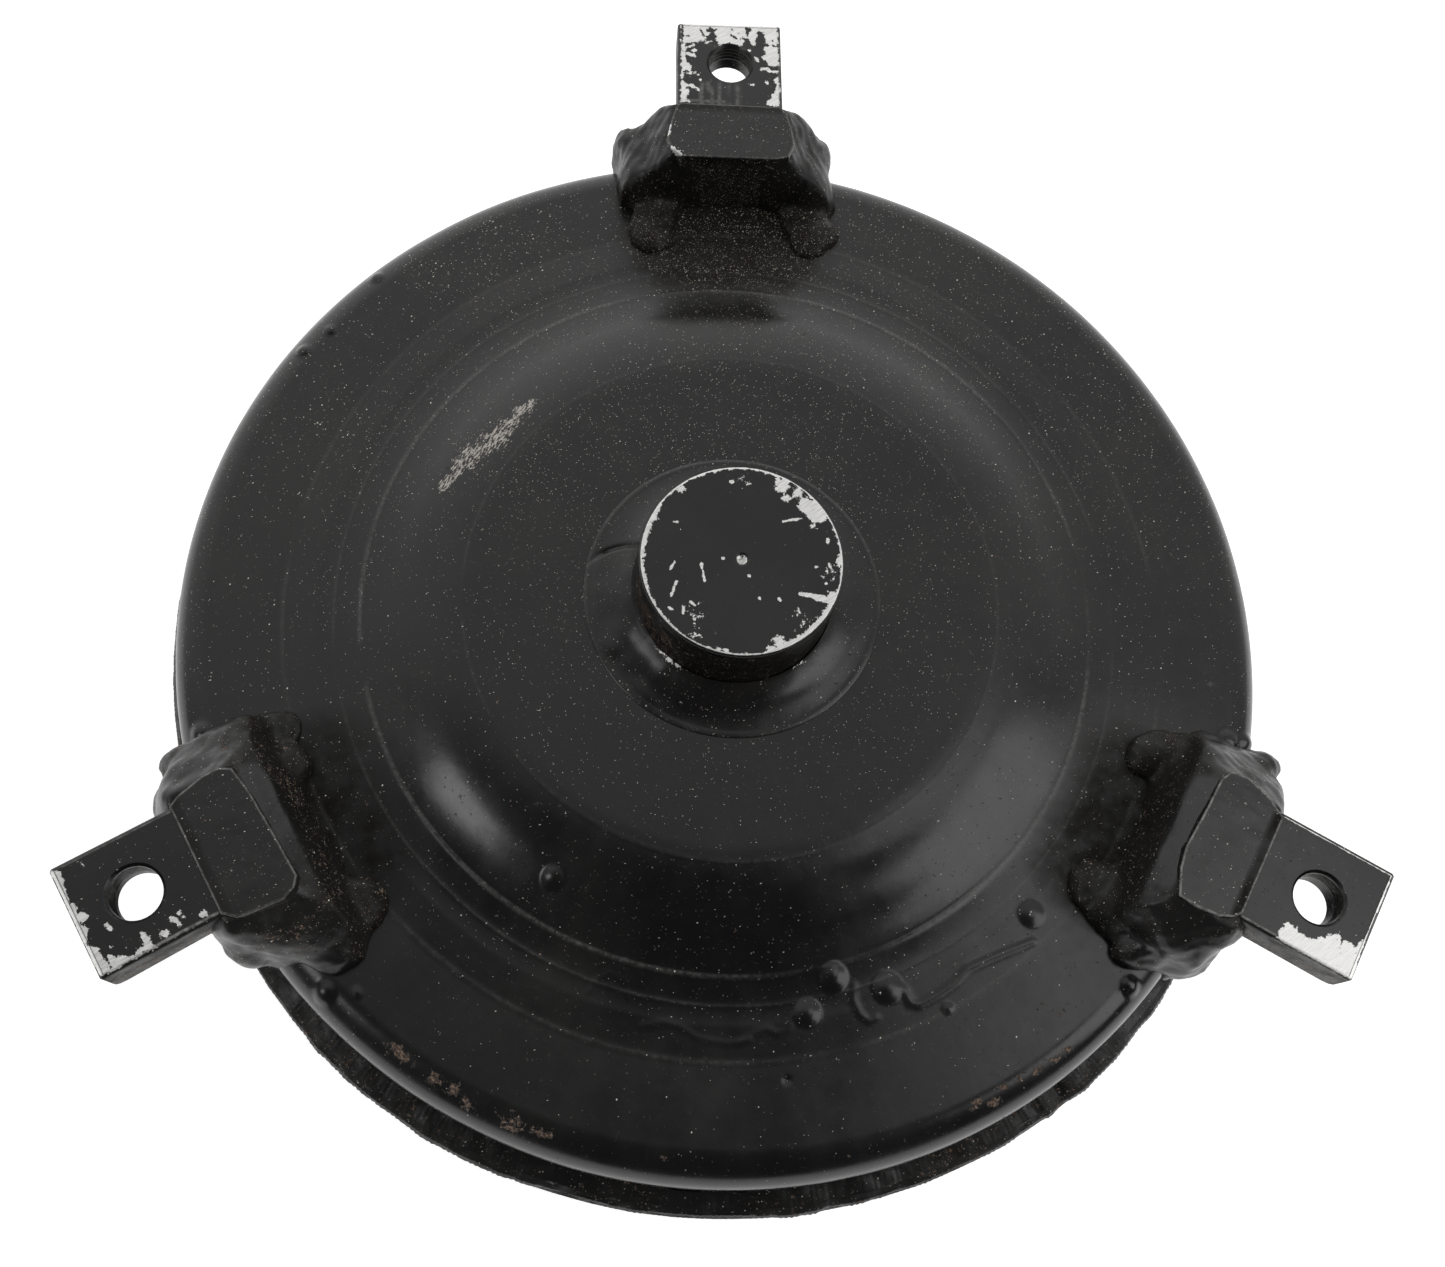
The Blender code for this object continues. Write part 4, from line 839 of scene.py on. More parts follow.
def pilot_line():
    """From the centre drilling over the face, down the wall and round the inner flange."""
    flange_top = PLATEAU_HEIGHT - COVER_THICKNESS - 0.3
    flange_bottom = flange_top - 4.5
    face = np.arange(1.6, PILOT_RADIUS - 0.6, 0.24)
    top = [(0.0, PILOT_HEIGHT - 1.1), (0.35, PILOT_HEIGHT - 1.0), (1.0, PILOT_HEIGHT - 0.25),
           (1.25, PILOT_HEIGHT - 0.06)]
    top += [(radius, PILOT_HEIGHT) for radius in face]
    edge = [(PILOT_RADIUS - 0.5, PILOT_HEIGHT), (PILOT_RADIUS - 0.38, PILOT_HEIGHT - 0.05),
            (PILOT_RADIUS - 0.05, PILOT_HEIGHT - 0.38), (PILOT_RADIUS, PILOT_HEIGHT - 0.52)]
    heights = np.arange(PILOT_HEIGHT - 1.0, PLATEAU_HEIGHT, -0.5)
    wall = [(PILOT_RADIUS, height) for height in heights]
    lower = [(PILOT_RADIUS, flange_top), (32.0, flange_top), (32.0, flange_bottom),
             (16.0, flange_bottom), (16.0, flange_bottom + 7.2), (0.0, flange_bottom + 7.2)]
    return np.array(top + edge + wall + lower)


def make_pilot(materials):
    def relief(points, normals):
        radius = radius_of(points)
        rough = 0.10 * fractal_noise(points, 2.2, 41, 3) * smooth_step(points[:, 2], 35.5, 33.0)
        dished = -0.05 * smooth_step(radius, 21.0, 8.0) * (normals[:, 2] > 0.9)
        return np.where(points[:, 2] > PLATEAU_HEIGHT, rough + dished, 0.0)

    mesh = turned_mesh("crankshaft_pilot", pilot_line(), 540, relief, closed=False)
    points = places(mesh)
    x, y, height = points.T
    radius = np.hypot(x, y)
    on_face = height > PILOT_HEIGHT - 1.3
    lively = fractal_noise(np.stack([x, y, np.zeros_like(x)], 1), 6.0, 51, 2)
    azimuth = azimuth_of(points)
    worn = 0.65 * smooth_step(azimuth, 142.0, 152.0) + 0.30 * smooth_step(-azimuth, 135.0, 178.0)
    worn += 0.75 * smooth_step(-azimuth, 18.0, 34.0) * smooth_step(azimuth, -84.0, -62.0)
    edge_width = 0.30 + worn + 0.20 * lively
    face_end = PILOT_RADIUS - 0.5
    chip = 0.5 + (radius - (face_end + 0.05 - edge_width)) / 1.3
    chip = np.where(radius > face_end - 0.25, 1.0, np.minimum(chip, 1.0))
    for place, angle, size in PILOT_CHIPS:
        chip = np.maximum(chip, 0.5 + (size - distance_to_place(x, y, place, angle)) / 1.8)
    for first, last, half in PILOT_SCRATCHES:
        away = distance_to_line(x, y, [polar(*first), polar(*last)])
        chip = np.maximum(chip, 0.58 + (half - away) / 0.6)
    for place, angle, size in SPECKLED_PLACES:
        away = distance_to_place(x, y, place, angle)
        chip = np.maximum(chip, 0.33 * smooth_step(away, size, 0.4 * size))
    chip = np.where(on_face & (radius < face_end + 0.06), chip, 0.0)
    chip = np.where(radius < 1.1, 0.75, chip)
    chip = np.where(height < PLATEAU_HEIGHT, 0.0, chip)
    # painted shade: darker down the pilot's wall towards the collar
    grime = 0.9 * smooth_step(height, PILOT_HEIGHT - 0.8, PILOT_HEIGHT - 4.0)
    dust = np.where(on_face, 0.03, 0.45)
    rust = 0.42 * smooth_step(height, 34.0, 30.0) * smooth_step(azimuth, -100.0, -140.0)
    add_piece("crankshaft_pilot", mesh, materials["black_paint"], "black_paint", "pilot_hub",
              smooth_angle=28.0, chip=chip, grime=grime, dust=dust, rust=rust)


def make_pilot_weld(materials):
    """A smooth concave collar; it starts and ends at a crease that curls outwards."""
    inner = PILOT_RADIUS + 0.25
    base = PLATEAU_HEIGHT + 0.02
    outer = 33.1
    radii = np.linspace(inner, outer - 0.5, 26)
    share = (radii - inner) / (outer - inner)
    rise = 3.5 * (1.0 - share) ** 2.6 + 0.42 * (1.0 - share ** 3) + 0.10
    top = np.stack([radii, base + rise], 1)
    rim = [(outer - 0.30, base + 0.16), (outer - 0.08, base + 0.08), (outer, base)]
    under = spread(np.array([(outer, base), (inner, base)]), 4.0, closed=False)[1:]
    line = np.concatenate([top, np.array(rim), under])

    def relief(points, normals):
        radius = radius_of(points)
        azimuth = azimuth_of(points) % 360.0
        along = radius - 23.8
        crease = 155.0 + 0.5 * along + 0.11 * along ** 2
        beyond = (azimuth - crease) % 360.0
        overlap = 0.42 * smooth_step(beyond, -0.1, 2.2) * smooth_step(beyond, 95.0, 6.0)
        groove = -0.38 * np.exp(-(np.minimum(beyond, 360.0 - beyond) / 1.6) ** 2)
        lumps = 0.22 * fractal_noise(points, 6.5, 61, 2)
        lumps *= smooth_step(np.abs(azimuth - 205.0), 75.0, 10.0)
        even = 0.07 * fractal_noise(points, 9.0, 63, 2)
        ring = 0.10 * np.exp(-((radius - 32.3) / 0.35) ** 2)
        free = smooth_step(points[:, 2] - base, 0.0, 0.5)
        return (overlap + groove + lumps + even) * free + ring * (points[:, 2] > base + 0.05)

    mesh = turned_mesh("pilot_weld_collar", line, 540, relief)
    points = places(mesh)
    radius = radius_of(points)
    azimuth = azimuth_of(points)
    # painted shade in the crease against the pilot
    grime = 0.5 * smooth_step(radius, 25.0, 22.0)
    close = smooth_step(radius, 22.9, 22.2)
    spots = smooth_step(np.abs(azimuth + 132.0), 14.0, 8.0)
    spots += 0.8 * smooth_step(np.abs(azimuth + 52.0), 7.0, 3.0)
    chip = 0.62 * close * spots * (points[:, 2] > base + 0.5)
    dust = np.full(len(points), 0.30)
    patchy = 0.5 + 0.5 * fractal_noise(points, 9.0, 65, 2)
    edge = 0.20 * smooth_step(np.abs(radius - 32.6), 0.5, 0.1) * patchy
    add_piece("pilot_weld_collar", mesh, materials["black_paint"], "weld_paint", "pilot_weld",
              dust=dust, grime=grime, chip=chip, edge=edge)


# ---- mounting lugs -------------------------------------------------------------------------------
BLOCK_TOPS = {                       # outlines of the three block tops, out and side
    1: ((108.3, 11.6), (110.4, 14.2), (113.2, 15.4), (118.6, 14.4), (122.4, 13.4), (124.0, 12.2),
        (124.0, -12.2), (122.0, -13.9), (117.2, -15.1), (113.0, -15.5), (109.4, -14.0),
        (108.5, -11.0)),
    2: ((108.1, 12.6), (109.6, 14.6), (112.2, 15.6), (117.1, 15.2), (121.5, 14.5), (124.0, 12.2),
        (124.0, -12.0), (121.8, -13.2), (116.0, -14.6), (112.4, -14.6), (110.2, -13.2),
        (109.2, -7.9), (108.6, 1.5)),
    3: ((109.2, 13.2), (110.5, 16.0), (114.4, 16.6), (119.7, 14.9), (124.0, 12.5), (124.0, -10.6),
        (122.6, -12.3), (120.0, -13.6), (115.0, -14.2), (111.0, -13.9), (109.0, -8.5),
        (108.3, -3.9), (109.0, 6.5))}
TABS = {                             # sides, how far out the end reaches at each, and thickness
    1: ((-12.95, 12.75), (149.35, 148.8), 7.9),
    2: ((-11.8, 12.65), (149.1, 148.6), 9.2),
    3: ((-11.8, 13.65), (148.9, 149.25), 8.4)}
TAPER = {1: 0.0, 2: 0.075, 3: 0.0}   # how much thicker a tab gets with each millimetre outwards
CHIP_PATCHES = {                     # outlines of bare metal on the tabs' faces, out and side
    1: (((149.2, 12.0), (142.7, 12.0), (142.2, 10.9), (142.5, 9.6), (142.9, 7.9), (143.6, 6.8),
        (143.8, 6.0), (144.9, 5.9), (146.1, 4.6), (146.4, 5.8), (147.1, 5.6), (147.8, 4.5),
        (147.4, 3.9), (147.4, 2.8), (146.7, 2.8), (146.2, 3.7), (145.1, 3.4), (145.0, 2.9),
        (143.8, 3.2), (142.9, 2.9), (142.3, 2.5), (142.7, 1.7), (143.0, 0.0), (142.8, -1.8),
        (142.3, -2.9), (142.5, -3.6), (143.9, -3.7), (144.6, -3.2), (145.2, -3.3), (145.1, -4.0),
        (145.8, -4.3), (145.8, -5.0), (144.0, -4.8), (143.2, -5.3), (142.6, -5.7), (142.8, -6.6),
        (145.2, -6.5), (145.9, -7.6), (146.6, -7.0), (147.3, -7.1), (147.2, -8.1), (146.6, -8.9),
        (145.1, -8.9), (143.7, -9.1), (143.0, -9.9), (142.6, -9.8), (142.7, -8.7), (141.5, -8.7),
        (140.3, -9.2), (139.8, -8.3), (139.2, -8.2), (138.2, -9.0), (136.8, -9.9), (136.5, -11.1),
        (136.9, -12.2), (149.2, -12.2)), ((142.7, 12.0), (142.2, 10.9), (140.8, 10.8),
        (139.5, 10.9), (137.8, 10.9), (136.8, 10.6), (136.1, 9.6), (135.3, 9.3), (134.5, 9.7),
        (134.0, 11.3), (131.9, 11.4), (130.6, 11.2), (129.9, 10.2), (130.1, 8.6), (129.4, 8.8),
        (129.3, 10.4), (128.5, 10.9), (128.2, 10.0), (126.9, 10.2), (126.5, 10.8), (125.5, 10.6),
        (124.7, 9.9), (124.4, 11.5), (124.4, 12.0)), ((133.4, -12.2), (133.2, -11.4),
        (132.6, -11.0), (131.8, -11.1), (130.8, -11.5), (130.0, -11.2), (129.3, -11.4),
        (128.6, -11.0), (127.6, -10.1), (127.0, -10.1), (125.5, -9.1), (125.0, -9.0),
        (124.4, -10.5), (124.4, -12.2))),
    2: (((147.4, -10.9), (146.9, -10.4), (147.2, -8.4), (147.7, -5.9), (147.7, -3.9), (147.1, -2.3),
        (147.4, -1.2), (147.8, 0.7), (147.0, 2.6), (147.3, 3.9), (147.9, 5.1), (147.1, 6.5),
        (146.5, 7.3), (146.5, 8.8), (146.2, 9.3), (145.4, 8.9), (144.7, 9.9), (143.5, 10.2),
        (141.2, 11.4), (140.5, 11.1), (140.0, 10.6), (139.1, 10.6), (138.6, 9.9), (138.8, 8.6),
        (138.7, 7.9), (137.7, 7.9), (137.7, 8.9), (137.5, 9.8), (137.5, 11.2), (136.9, 12.0),
        (148.9, 12.0), (149.2, -11.2)), ((143.4, -10.6), (142.5, -10.2), (143.0, -9.2))),
    3: (((131.9, -9.9), (132.0, -9.2), (132.7, -7.5), (133.2, -7.3), (133.6, -7.5), (133.9, -7.2),
        (134.7, -7.7), (135.0, -6.9), (135.6, -7.8), (136.9, -8.3), (138.1, -8.3), (139.5, -6.9),
        (139.8, -6.1), (140.7, -6.5), (141.3, -5.4), (142.6, -4.1), (143.5, -3.5), (144.0, -4.5),
        (144.1, -6.0), (144.5, -4.5), (146.0, -4.7), (147.3, -4.8), (147.6, -2.0), (148.2, -2.0),
        (148.9, -11.8), (131.9, -11.8)),)}
CHIP_LINES = {                       # two ends of each short bare mark, and half its width
    1: (((141.1, 10.4), (142.0, 8.7), 0.35), ((140.2, 8.7), (140.2, 8.6), 0.4), ((139.2, 10.2),
        (138.9, 8.9), 0.48), ((133.5, 8.7), (133.6, 8.6), 0.32), ((134.1, 8.2), (134.0, 8.2), 0.32),
        ((132.9, 7.7), (132.8, 7.6), 0.2), ((131.5, 7.1), (131.3, 7.1), 0.2), ((129.3, 8.9),
        (128.4, 7.8), 0.36), ((142.9, 5.7), (143.3, 4.7), 0.32), ((141.1, -5.1), (141.0, -5.1),
        0.3), ((138.9, -6.5), (138.1, -7.1), 0.3), ((131.7, -9.1), (131.6, -9.2), 0.34),
        ((130.7, -5.2), (130.7, -5.6), 0.3), ((135.5, -8.0), (135.8, -9.2), 0.36), ((135.8, -9.2),
        (135.1, -10.0), 0.36), ((135.1, -10.0), (134.8, -11.9), 0.4), ((133.4, 10.4), (133.2, 10.3),
        0.15), ((133.9, 9.7), (133.4, 9.6), 0.15)),
    2: (((147.1, -0.2), (146.9, 0.1), 0.85), ((134.9, 10.2), (134.6, 10.5), 0.72), ((126.8, 10.5),
        (126.5, 10.6), 0.55), ((132.2, 8.4), (131.6, 10.2), 0.42), ((130.7, 8.1), (130.6, 8.2),
        0.3), ((130.5, 9.2), (130.4, 9.3), 0.22), ((143.5, 3.6), (143.2, 4.6), 0.3), ((144.6, 7.7),
        (144.5, 7.8), 0.15)),
    3: (((146.4, -2.6), (146.2, -2.8), 0.16),)}
SOUND_LINES = {                      # paint left standing inside the bare patches, in the same way
    1: (((144.6, 10.4), (144.7, 10.0), 0.22), ((147.0, 7.2), (145.5, 6.5), 0.10), ((145.5, 6.5),
        (144.3, 6.4), 0.10), ((147.4, -0.7), (147.0, -1.0), 0.12), ((145.7, -0.4), (144.6, -1.9),
        0.18), ((147.6, -4.5), (147.5, -5.0), 0.5), ((146.6, -4.4), (146.5, -4.7), 0.25),
        ((144.5, -10.8), (144.4, -11.0), 0.15), ((142.9, -10.9), (142.7, -11.2), 0.18),
        ((148.0, 11.6), (143.0, 11.7), 0.12), ((146.2, -2.3), (146.1, -2.5), 0.10), ((143.2, -1.5),
        (143.3, -1.7), 0.12)),
    2: (((145.9, 9.3), (146.0, 11.6), 0.12), ((139.6, 11.6), (139.5, 11.6), 0.12)),
    3: ()}
BLOCK_EDGE_CHIPS = {
    1: (((108.8, 12.2), (110.6, 14.4)), ((114.4, 15.2), (116.8, 14.9))),
    2: (),
    3: (((108.9, -11.0), (109.6, -12.2)),)}
HOLE_CENTRES = {1: (136.9, -0.2), 2: (136.5, 0.4), 3: (136.9, 0.7)}
EXIT_CHAMFER = {1: 0.2, 2: 1.5, 3: 0.5}
HOLE_SHEEN = {1: (0.0, 180.0), 2: (125.0,), 3: (85.0,)}  # azimuths of the hole walls that get a painted sheen
EDGE_WEAR_AND_HIGHLIGHT = {1: 0.40, 2: 0.50, 3: 0.90}      # how pale the thin edges are painted, for wear and a highlight
STREAKED_LUG = 1                             # the lug brushed where its tab meets the block
WORN_EDGE_LUG = 2                            # the lug with a long worn edge along its tab
WORN_LINE_LUG = 3                            # the lug with a bare line round its tab's face
SHADED_DEPTH = {1: 2.6, 2: 4.4, 3: 2.6}      # how far down the dull side face stays black
DULL_SIDE = {1: 0.0, 2: 1.0, 3: -1.0}        # which side of a tab has lost its gloss


def turned_out(points, azimuth):
    """Points in a lug's own frame, with out along +X, turned to the lug's azimuth."""
    angle = math.radians(azimuth)
    turn = np.array([[math.cos(angle), -math.sin(angle), 0.0],
                     [math.sin(angle), math.cos(angle), 0.0], [0.0, 0.0, 1.0]])
    return points @ turn.T


def prism(outline, top, bottom, foot=None):
    """Closed solid between an outline and its foot outline, as a loose object used in a Boolean."""
    work = bmesh.new()
    upper = [work.verts.new((x, y, top)) for x, y in outline]
    lower = [work.verts.new((x, y, bottom)) for x, y in (outline if foot is None else foot)]
    work.faces.new(upper)
    work.faces.new(lower[::-1])
    for index in range(len(upper)):
        after = (index + 1) % len(upper)
        work.faces.new((upper[after], upper[index], lower[index], lower[after]))
    bmesh.ops.recalc_face_normals(work, faces=work.faces)
    return loose_object(work)


def loose_object(work):
    mesh = bpy.data.meshes.new("tool")
    work.to_mesh(mesh)
    work.free()
    item = bpy.data.objects.new("tool", mesh)
    bpy.context.scene.collection.objects.link(item)
    return item


def apply_boolean(item, tools):
    """The item's shape after a Boolean with each tool in turn; the item keeps its modifiers."""
    for tool, operation in tools:
        modifier = item.modifiers.new(operation, "BOOLEAN")
        modifier.operation = operation
        modifier.object = tool
        modifier.solver = "EXACT"
    bpy.context.view_layer.update()
    return item.evaluated_get(bpy.context.evaluated_depsgraph_get())


def hole_tool(number):
    """Bolt hole with a countersink and the faint rings that the drill left."""
    bottom = TAB_TOP - TABS[number][2]
    middle = HOLE_CENTRES[number]
    line = [(DRILL_RADIUS + 3.65, TAB_TOP + 3.0), (DRILL_RADIUS + 0.05, TAB_TOP - 0.6)]
    height = TAB_TOP - 1.05
    while height > bottom + 2.2:
        line += [(DRILL_RADIUS, height), (DRILL_RADIUS + 0.22, height - 0.5)]
        height -= 1.1
    cut = EXIT_CHAMFER[number]
    line[-2:] = [(DRILL_RADIUS, bottom + cut), (DRILL_RADIUS + cut + 2.0, bottom - 2.0)]
    work = bmesh.new()
    facets = 64
    angles = [2 * math.pi * k / facets for k in range(facets)]
    rings = [[work.verts.new((middle[0] + radius * math.cos(angle),
                              middle[1] + radius * math.sin(angle), height)) for angle in angles]
             for radius, height in line]
    for upper, lower in zip(rings[:-1], rings[1:]):
        for k in range(facets):
            after = (k + 1) % facets
            work.faces.new((upper[k], upper[after], lower[after], lower[k]))
    work.faces.new(rings[0])
    work.faces.new(rings[-1][::-1])
    bmesh.ops.recalc_face_normals(work, faces=work.faces)
    return loose_object(work)


def round_rim(item, level, radius, steps, lower_end=0.0):
    """Rounds an item's top edges, adds points just inside them, and may chamfer its outer foot."""
    work = bmesh.new()
    work.from_mesh(item.data)
    if lower_end:
        farthest = max(vert.co.x for vert in work.verts)
        foot = [edge for edge in work.edges
                if all(vert.co.z < level - 1.0 and vert.co.x > farthest - 1.5
                       for vert in edge.verts)]
        bmesh.ops.bevel(work, geom=foot, offset=lower_end, segments=2, profile=0.5, affect="EDGES")
    rim = [edge for edge in work.edges if all(abs(vert.co.z - level) < 1e-4 for vert in edge.verts)]
    bmesh.ops.bevel(work, geom=rim, offset=radius, segments=steps, profile=0.5, affect="EDGES")
    flat = [face for face in work.faces
            if face.normal.z > 0.999 and abs(face.calc_center_median().z - level) < 0.01]
    bmesh.ops.inset_region(work, faces=flat, thickness=0.26, use_even_offset=True)
    work.to_mesh(item.data)
    work.free()


def tab_outline(number):
    """The tab's outline seen from above, its outer corners cut a little."""
    (low, high), (end_low, end_high), _ = TABS[number]
    cut = 0.5
    return [(TAB_ROOT, low), (end_low - cut, low), (end_low, low + cut), (end_high, high - cut),
            (end_high - cut, high), (TAB_ROOT, high)]


def lug_solid(number):
    """Block and tab as one forging in the lug's own frame, edges broken."""
    outline = BLOCK_TOPS[number]
    centre = np.mean(outline, axis=0)
    foot = []
    for out, side in outline:
        away = np.array([out, side]) - centre
        foot.append(tuple(centre + away * (1.0 + 1.6 / np.linalg.norm(away))))
    block = prism(outline, LUG_TOP, float(cover_height(TAB_ROOT)) - 1.2, foot)
    round_rim(block, LUG_TOP, 0.3, 2)
    tab = prism(tab_outline(number), TAB_TOP, TAB_TOP - TABS[number][2])
    for vert in tab.data.vertices:
        if vert.co.z < TAB_TOP - 1.0:
            vert.co.z -= TAPER[number] * (vert.co.x - HOLE_CENTRES[number][0])
    round_rim(tab, TAB_TOP, TAB_ROUNDING, 3, lower_end=1.4)
    hole = hole_tool(number)
    shaped = apply_boolean(block, ((tab, "UNION"), (hole, "DIFFERENCE")))
    work = bmesh.new()
    work.from_mesh(shaped.to_mesh())
    for item in (block, tab, hole):
        bpy.data.objects.remove(item, do_unlink=True)
    return work


def cut_cells(work, axis, positions):
    """Cuts faces along planes across an axis, so that they can hold fields and small relief."""
    normal = Vector((0.0, 0.0, 0.0))
    normal[axis] = 1.0
    for position in positions:
        bmesh.ops.bisect_plane(work, geom=work.verts[:] + work.edges[:] + work.faces[:], dist=1e-5,
                               plane_co=normal * position, plane_no=normal)


def lug_chips(number, out, side, height):
    """How ready the paint is to come off, above one half where the metal is bare."""
    chip = np.zeros_like(out)
    on_face = (height > TAB_TOP - 0.25) & (height < TAB_TOP + 0.1) & (out > BLOCK_EDGE + 0.2)
    for outline in CHIP_PATCHES[number]:
        away = outline_distance(out, side, outline)
        chip = np.maximum(chip, np.where(on_face, 0.5 - away / 1.2, 0.0))
    for first, last, half in CHIP_LINES[number]:
        away = distance_to_line(out, side, (first, last))
        chip = np.maximum(chip, np.where(on_face, 0.58 + (half - away) / 1.0, 0.0))
    for first, last, half in SOUND_LINES[number]:
        away = distance_to_line(out, side, (first, last))
        chip = np.minimum(chip, 0.38 + np.maximum(away - half, -0.3) / 0.7)
    if number == WORN_LINE_LUG:
        round_tab = -outline_distance(out, side, tab_outline(number))
        line = on_face & (np.abs(round_tab - TAB_ROUNDING) < 0.07) & ((side > 5.0) | (out > 145.0))
        chip = np.where(line, 1.0, chip)
    for places_here in BLOCK_EDGE_CHIPS[number]:
        away = np.hypot(distance_to_line(out, side, places_here), height - LUG_TOP + 0.1)
        chip = np.maximum(chip, 0.62 + (0.45 - away) / 0.9)
    return np.clip(chip, 0.0, 1.0)


def edge_lines(number, out, side, height):
    """1 on the thin edges round the block's top and along the tab, pale from wear and a painted
    highlight.
    """
    round_block = np.abs(outline_distance(out, side, BLOCK_TOPS[number]))
    round_tab = -outline_distance(out, side, tab_outline(number))
    on_block = out < BLOCK_EDGE + 0.3
    flat = on_block & (np.abs(height - LUG_TOP) < 0.04) & (round_block < 0.42)
    edge = np.where(flat, 1.0, 0.0)
    bend = on_block & (np.abs(height - LUG_TOP + 0.12) < 0.08) & (round_block < 0.25)
    edge = np.where(bend, 0.7, edge)
    line = (out > BLOCK_EDGE + 0.1) & (np.abs(height - TAB_TOP) < 0.03)
    edge = np.where(line & (round_tab < TAB_ROUNDING + 0.12), 1.0, edge)
    return edge


def make_lug(number, azimuth, materials):
    work = lug_solid(number)
    cut_cells(work, 0, np.arange(109.2, BLOCK_EDGE - 0.5, 1.1))
    cut_cells(work, 0, np.arange(BLOCK_EDGE + 0.45, 149.0, TAB_CELL))
    cut_cells(work, 1, np.arange(-16.0, 16.0, TAB_CELL))
    cut_cells(work, 2, np.arange(9.0, LUG_TOP - 0.8, 1.2))
    bmesh.ops.triangulate(work, faces=[face for face in work.faces if len(face.verts) > 4])
    work.verts.ensure_lookup_table()
    local = np.array([vert.co for vert in work.verts])
    out, side, height = local.T
    worn = fractal_noise(local + 40.0 * number, 5.0, 71, 3)
    dents = lattice_noise(local + 40.0 * number, 2.0, 74)
    flank = smooth_step(np.minimum(LUG_TOP - height, 3.0), 0.3, 2.5)
    centre = np.mean(BLOCK_TOPS[number], axis=0)
    away = np.stack([out - centre[0], side - centre[1]], 1)
    away /= np.maximum(np.linalg.norm(away, axis=1), 1e-6)[:, None]
    on_block = smooth_step(out, BLOCK_EDGE + 1.0, BLOCK_EDGE - 1.5)
    shift = (0.28 * worn + 0.08 * dents) * flank * on_block
    moved = local.copy()
    moved[:, :2] += away * shift[:, None]
    moved[:, 2] += (0.05 * worn) * on_block * smooth_step(height, LUG_TOP - 0.6, LUG_TOP - 0.1)
    world = turned_out(moved, azimuth)
    world[:, 2] += RIM_LEVEL
    for vert, place in zip(work.verts, world * MM):
        vert.co = place
    name = f"mounting_lug_{number}_forging"
    mesh = bpy.data.meshes.new(name)
    work.to_mesh(mesh)
    work.free()
    chip = lug_chips(number, out, side, height)
    # edge lines painted pale, for wear and a highlight
    edge = edge_lines(number, out, side, height) * (EDGE_WEAR_AND_HIGHLIGHT[number] + 0.20 * worn)
    on_tab = out > BLOCK_EDGE + 0.4
    low = smooth_step(TAB_TOP - height, SHADED_DEPTH[number], SHADED_DEPTH[number] + 2.0)
    side_face = on_tab & (height < TAB_TOP - 0.5) & (side * DULL_SIDE[number] > 10.5)
    edge = np.where(side_face, (0.01 + 0.42 * low) * (0.9 + 0.5 * worn), edge)
    if number == WORN_EDGE_LUG:
        upper_line = on_tab & (np.abs(height - TAB_TOP) < 0.03) & (side > 11.4) & (out < 145.0)
        edge = np.where(upper_line, 0.8 + 0.3 * worn, edge)
    if number == STREAKED_LUG:
        close = smooth_step(out, 131.8, 129.0) * smooth_step(np.abs(side - 2.4), 5.6, 4.0)
        fade = lattice_noise(np.stack([out / 3.0, side / 2.5, height * 0.0], 1), 1.0, 13)
        streak = lattice_noise(np.stack([out / 6.0, side * 1.15, height * 0.0], 1), 1.0, 12)
        flat = on_tab & (np.abs(height - TAB_TOP) < 0.1)
        hatch = close * np.clip(0.40 + 0.60 * streak + 0.25 * fade, 0.0, 1.0)
        foot_line = 0.5 * smooth_step(np.abs(out - 125.2), 0.5, 0.2)
        foot_line *= smooth_step(-side, -0.8, -1.4)
        edge = np.where(flat, np.maximum(edge, np.maximum(hatch, foot_line)), edge)
    edge = np.where(chip > 0.8, 0.0, edge)
    if number == WORN_LINE_LUG:
        rounding = on_tab & (height < TAB_TOP - 0.12) & (height > TAB_TOP - 0.9) & (out > 131.5)
        edge = np.where(rounding & (side < -10.8), 0.75 + 0.3 * worn, edge)
    inner_face = smooth_step(out, 110.5, 108.5)
    lower = smooth_step(height, LUG_TOP - 1.0, LUG_TOP - 5.0)
    dust = 0.20 + 0.75 * inner_face * lower + (0.30 if number == 1 else 0.10) * on_block
    # painted shade: the block and tab darken towards their foot
    grime = 0.75 * lower * on_block + 0.35 * lower
    # painted shade in the groove between the block's top and the tab
    groove = 1.3 if number == 3 else 0.7
    grime += groove * smooth_step(np.abs(out - BLOCK_EDGE + 1.0), 1.1, 0.4) * (np.abs(side) < 13.0)
    # painted shade on the tab's rounded edges and sides just below its face
    grime += 0.9 * on_tab * smooth_step(TAB_TOP - height, 0.05, 0.4)
    middle = HOLE_CENTRES[number]
    in_hole = np.hypot(out - middle[0], side - middle[1]) < DRILL_RADIUS + 0.3
    # painted shade inside the bolt hole
    grime = np.where(in_hole, 0.35, grime)
    # painted sheen: hole walls that face these azimuths are painted paler
    wall = np.arctan2(side - middle[1], out - middle[0]) + math.radians(azimuth)
    sheen = np.zeros_like(out)
    for facing in HOLE_SHEEN[number]:
        sheen = np.maximum(sheen, smooth_step(np.cos(wall - math.radians(facing)), 0.1, 0.85))
    edge = np.where(in_hole & (height < TAB_TOP - 0.65), 0.06 + (0.34 + 0.25 * worn) * sheen, edge)
    rust = np.where(in_hole, 0.16, 0.36 * lower * side_face)
    dust = np.where(out > BLOCK_EDGE, 0.12, dust)
    add_piece(name, mesh, materials["black_paint"], "black_paint", f"mounting_lug_{number}",
              smooth_angle=24.0, chip=chip, edge=edge, dust=dust, grime=grime, rust=rust)


